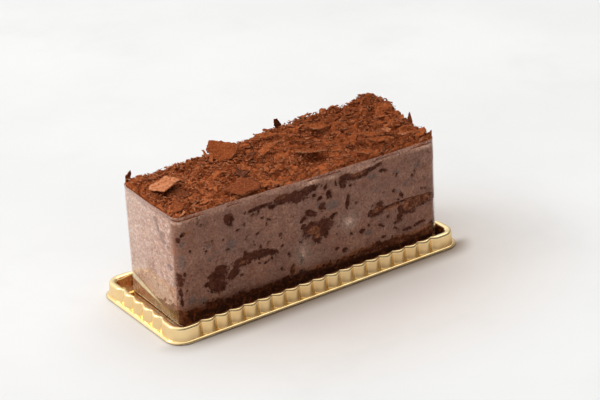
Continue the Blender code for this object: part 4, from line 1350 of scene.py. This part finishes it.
def make_light():
    """A pale room, brightest high up at the left and the back, dim in front and at the right."""
    world = bpy.data.worlds.new("studio")
    scene.world = world
    world.use_nodes = True
    tree = world.node_tree
    where = tree.nodes.new("ShaderNodeTexCoord")
    dot = tree.nodes.new("ShaderNodeVectorMath")
    dot.operation = "DOT_PRODUCT"
    dot.inputs[1].default_value = Vector((-0.38, 0.50, 0.78)).normalized()
    tree.links.new(where.outputs["Generated"], dot.inputs[0])
    grade = tree.nodes.new("ShaderNodeMapRange")
    grade.interpolation_type = "SMOOTHSTEP"
    for k, v in enumerate((0.0, 1.0, SKY_LOW, SKY_HIGH)):
        grade.inputs[k + 1].default_value = v
    tree.links.new(dot.outputs["Value"], grade.inputs[0])
    # the room is dark low down before the cake, which draws thin dark lines in the gold
    ahead = tree.nodes.new("ShaderNodeVectorMath")
    ahead.operation = "DOT_PRODUCT"
    ahead.inputs[1].default_value = (0.30, -0.954, 0.0)
    tree.links.new(where.outputs["Generated"], ahead.inputs[0])
    height = tree.nodes.new("ShaderNodeSeparateXYZ")
    tree.links.new(where.outputs["Generated"], height.inputs[0])
    ramps = []
    for source, lo, hi in ((ahead.outputs["Value"], 0.15, 0.75), (height.outputs[2], 0.36, 0.10)):
        step = tree.nodes.new("ShaderNodeMapRange")
        step.interpolation_type = "SMOOTHSTEP"
        for k, v in enumerate((lo, hi, 0.0, 1.0)):
            step.inputs[k + 1].default_value = v
        tree.links.new(source, step.inputs[0])
        ramps.append(step.outputs[0])
    above = tree.nodes.new("ShaderNodeVectorMath")
    above.operation = "DOT_PRODUCT"
    above.inputs[1].default_value = Vector((0.46, 0.16, 0.87)).normalized()
    tree.links.new(where.outputs["Generated"], above.inputs[0])
    glow = tree.nodes.new("ShaderNodeMapRange")
    glow.interpolation_type = "SMOOTHSTEP"
    for k, v in enumerate((0.925, 0.98, 0.0, CEILING)):
        glow.inputs[k + 1].default_value = v
    tree.links.new(above.outputs["Value"], glow.inputs[0])
    both = tree.nodes.new("ShaderNodeMath")
    tree.links.new(grade.outputs[0], both.inputs[0])
    tree.links.new(glow.outputs[0], both.inputs[1])
    value = both.outputs[0]
    for op, a, b in (("MULTIPLY", ramps[0], ramps[1]), ("MULTIPLY", None, 0.88), ("SUBTRACT", 1.0, None), ("MULTIPLY", None, value)):
        node = tree.nodes.new("ShaderNodeMath")
        node.operation = op
        for k, v in enumerate((a, b)):
            if v is None:
                v = last
            if isinstance(v, bpy.types.NodeSocket):
                tree.links.new(v, node.inputs[k])
            else:
                node.inputs[k].default_value = v
        last = node.outputs[0]
    back = tree.nodes["Background"]
    shade = tree.nodes.new("ShaderNodeMix")
    shade.data_type = "RGBA"
    shade.inputs[6].default_value = rgb(1.0, 1.0, 0.995)
    shade.inputs[7].default_value = rgb(0.95, 0.50, 0.22)
    both = tree.nodes.new("ShaderNodeMath")
    both.operation = "MULTIPLY"
    for k, ramp in enumerate(ramps):
        tree.links.new(ramp, both.inputs[k])
    tree.links.new(both.outputs[0], shade.inputs[0])
    tree.links.new(shade.outputs[2], back.inputs[0])
    tree.links.new(last, back.inputs[1])
    area("window", (-1.00, 0.80, 1.00), (0, 0, 0.02), (0.55, 0.55), WINDOW, (1.0, 0.995, 0.985))


def make_camera():
    data = bpy.data.cameras.new("camera")
    data.sensor_fit, data.sensor_width, data.lens = "HORIZONTAL", 36.0, 120.67
    data.clip_start, data.clip_end = 0.01, 20.0
    cam = bpy.data.objects.new("camera", data)
    az, el, roll = (math.radians(v) for v in (-33.046, 25.258, -3.032))
    back = Vector((math.sin(az) * math.cos(el), -math.cos(az) * math.cos(el), math.sin(el)))
    right = Vector((math.cos(az), math.sin(az), 0.0))
    up = back.cross(right)
    r2 = right * math.cos(roll) + up * math.sin(roll)
    u2 = up * math.cos(roll) - right * math.sin(roll)
    place = Vector((9.54, 1.96, 23.08)) * MM + back * 0.7029
    cam.matrix_world = Matrix(
        ((r2.x, u2.x, back.x, place.x), (r2.y, u2.y, back.y, place.y), (r2.z, u2.z, back.z, place.z), (0, 0, 0, 1))
    )
    scene.collection.objects.link(cam)
    scene.camera = cam


def main():
    scene.view_settings.view_transform = "Standard"
    make_camera()
    make_stage()
    make_light()
    make_tray()
    make_cake(0.4)
    make_film()
    topping = flake_material("cocoa_flakes")
    make_core(topping, 0.34)
    make_flakes(topping)
    hero_flakes(topping)


main()
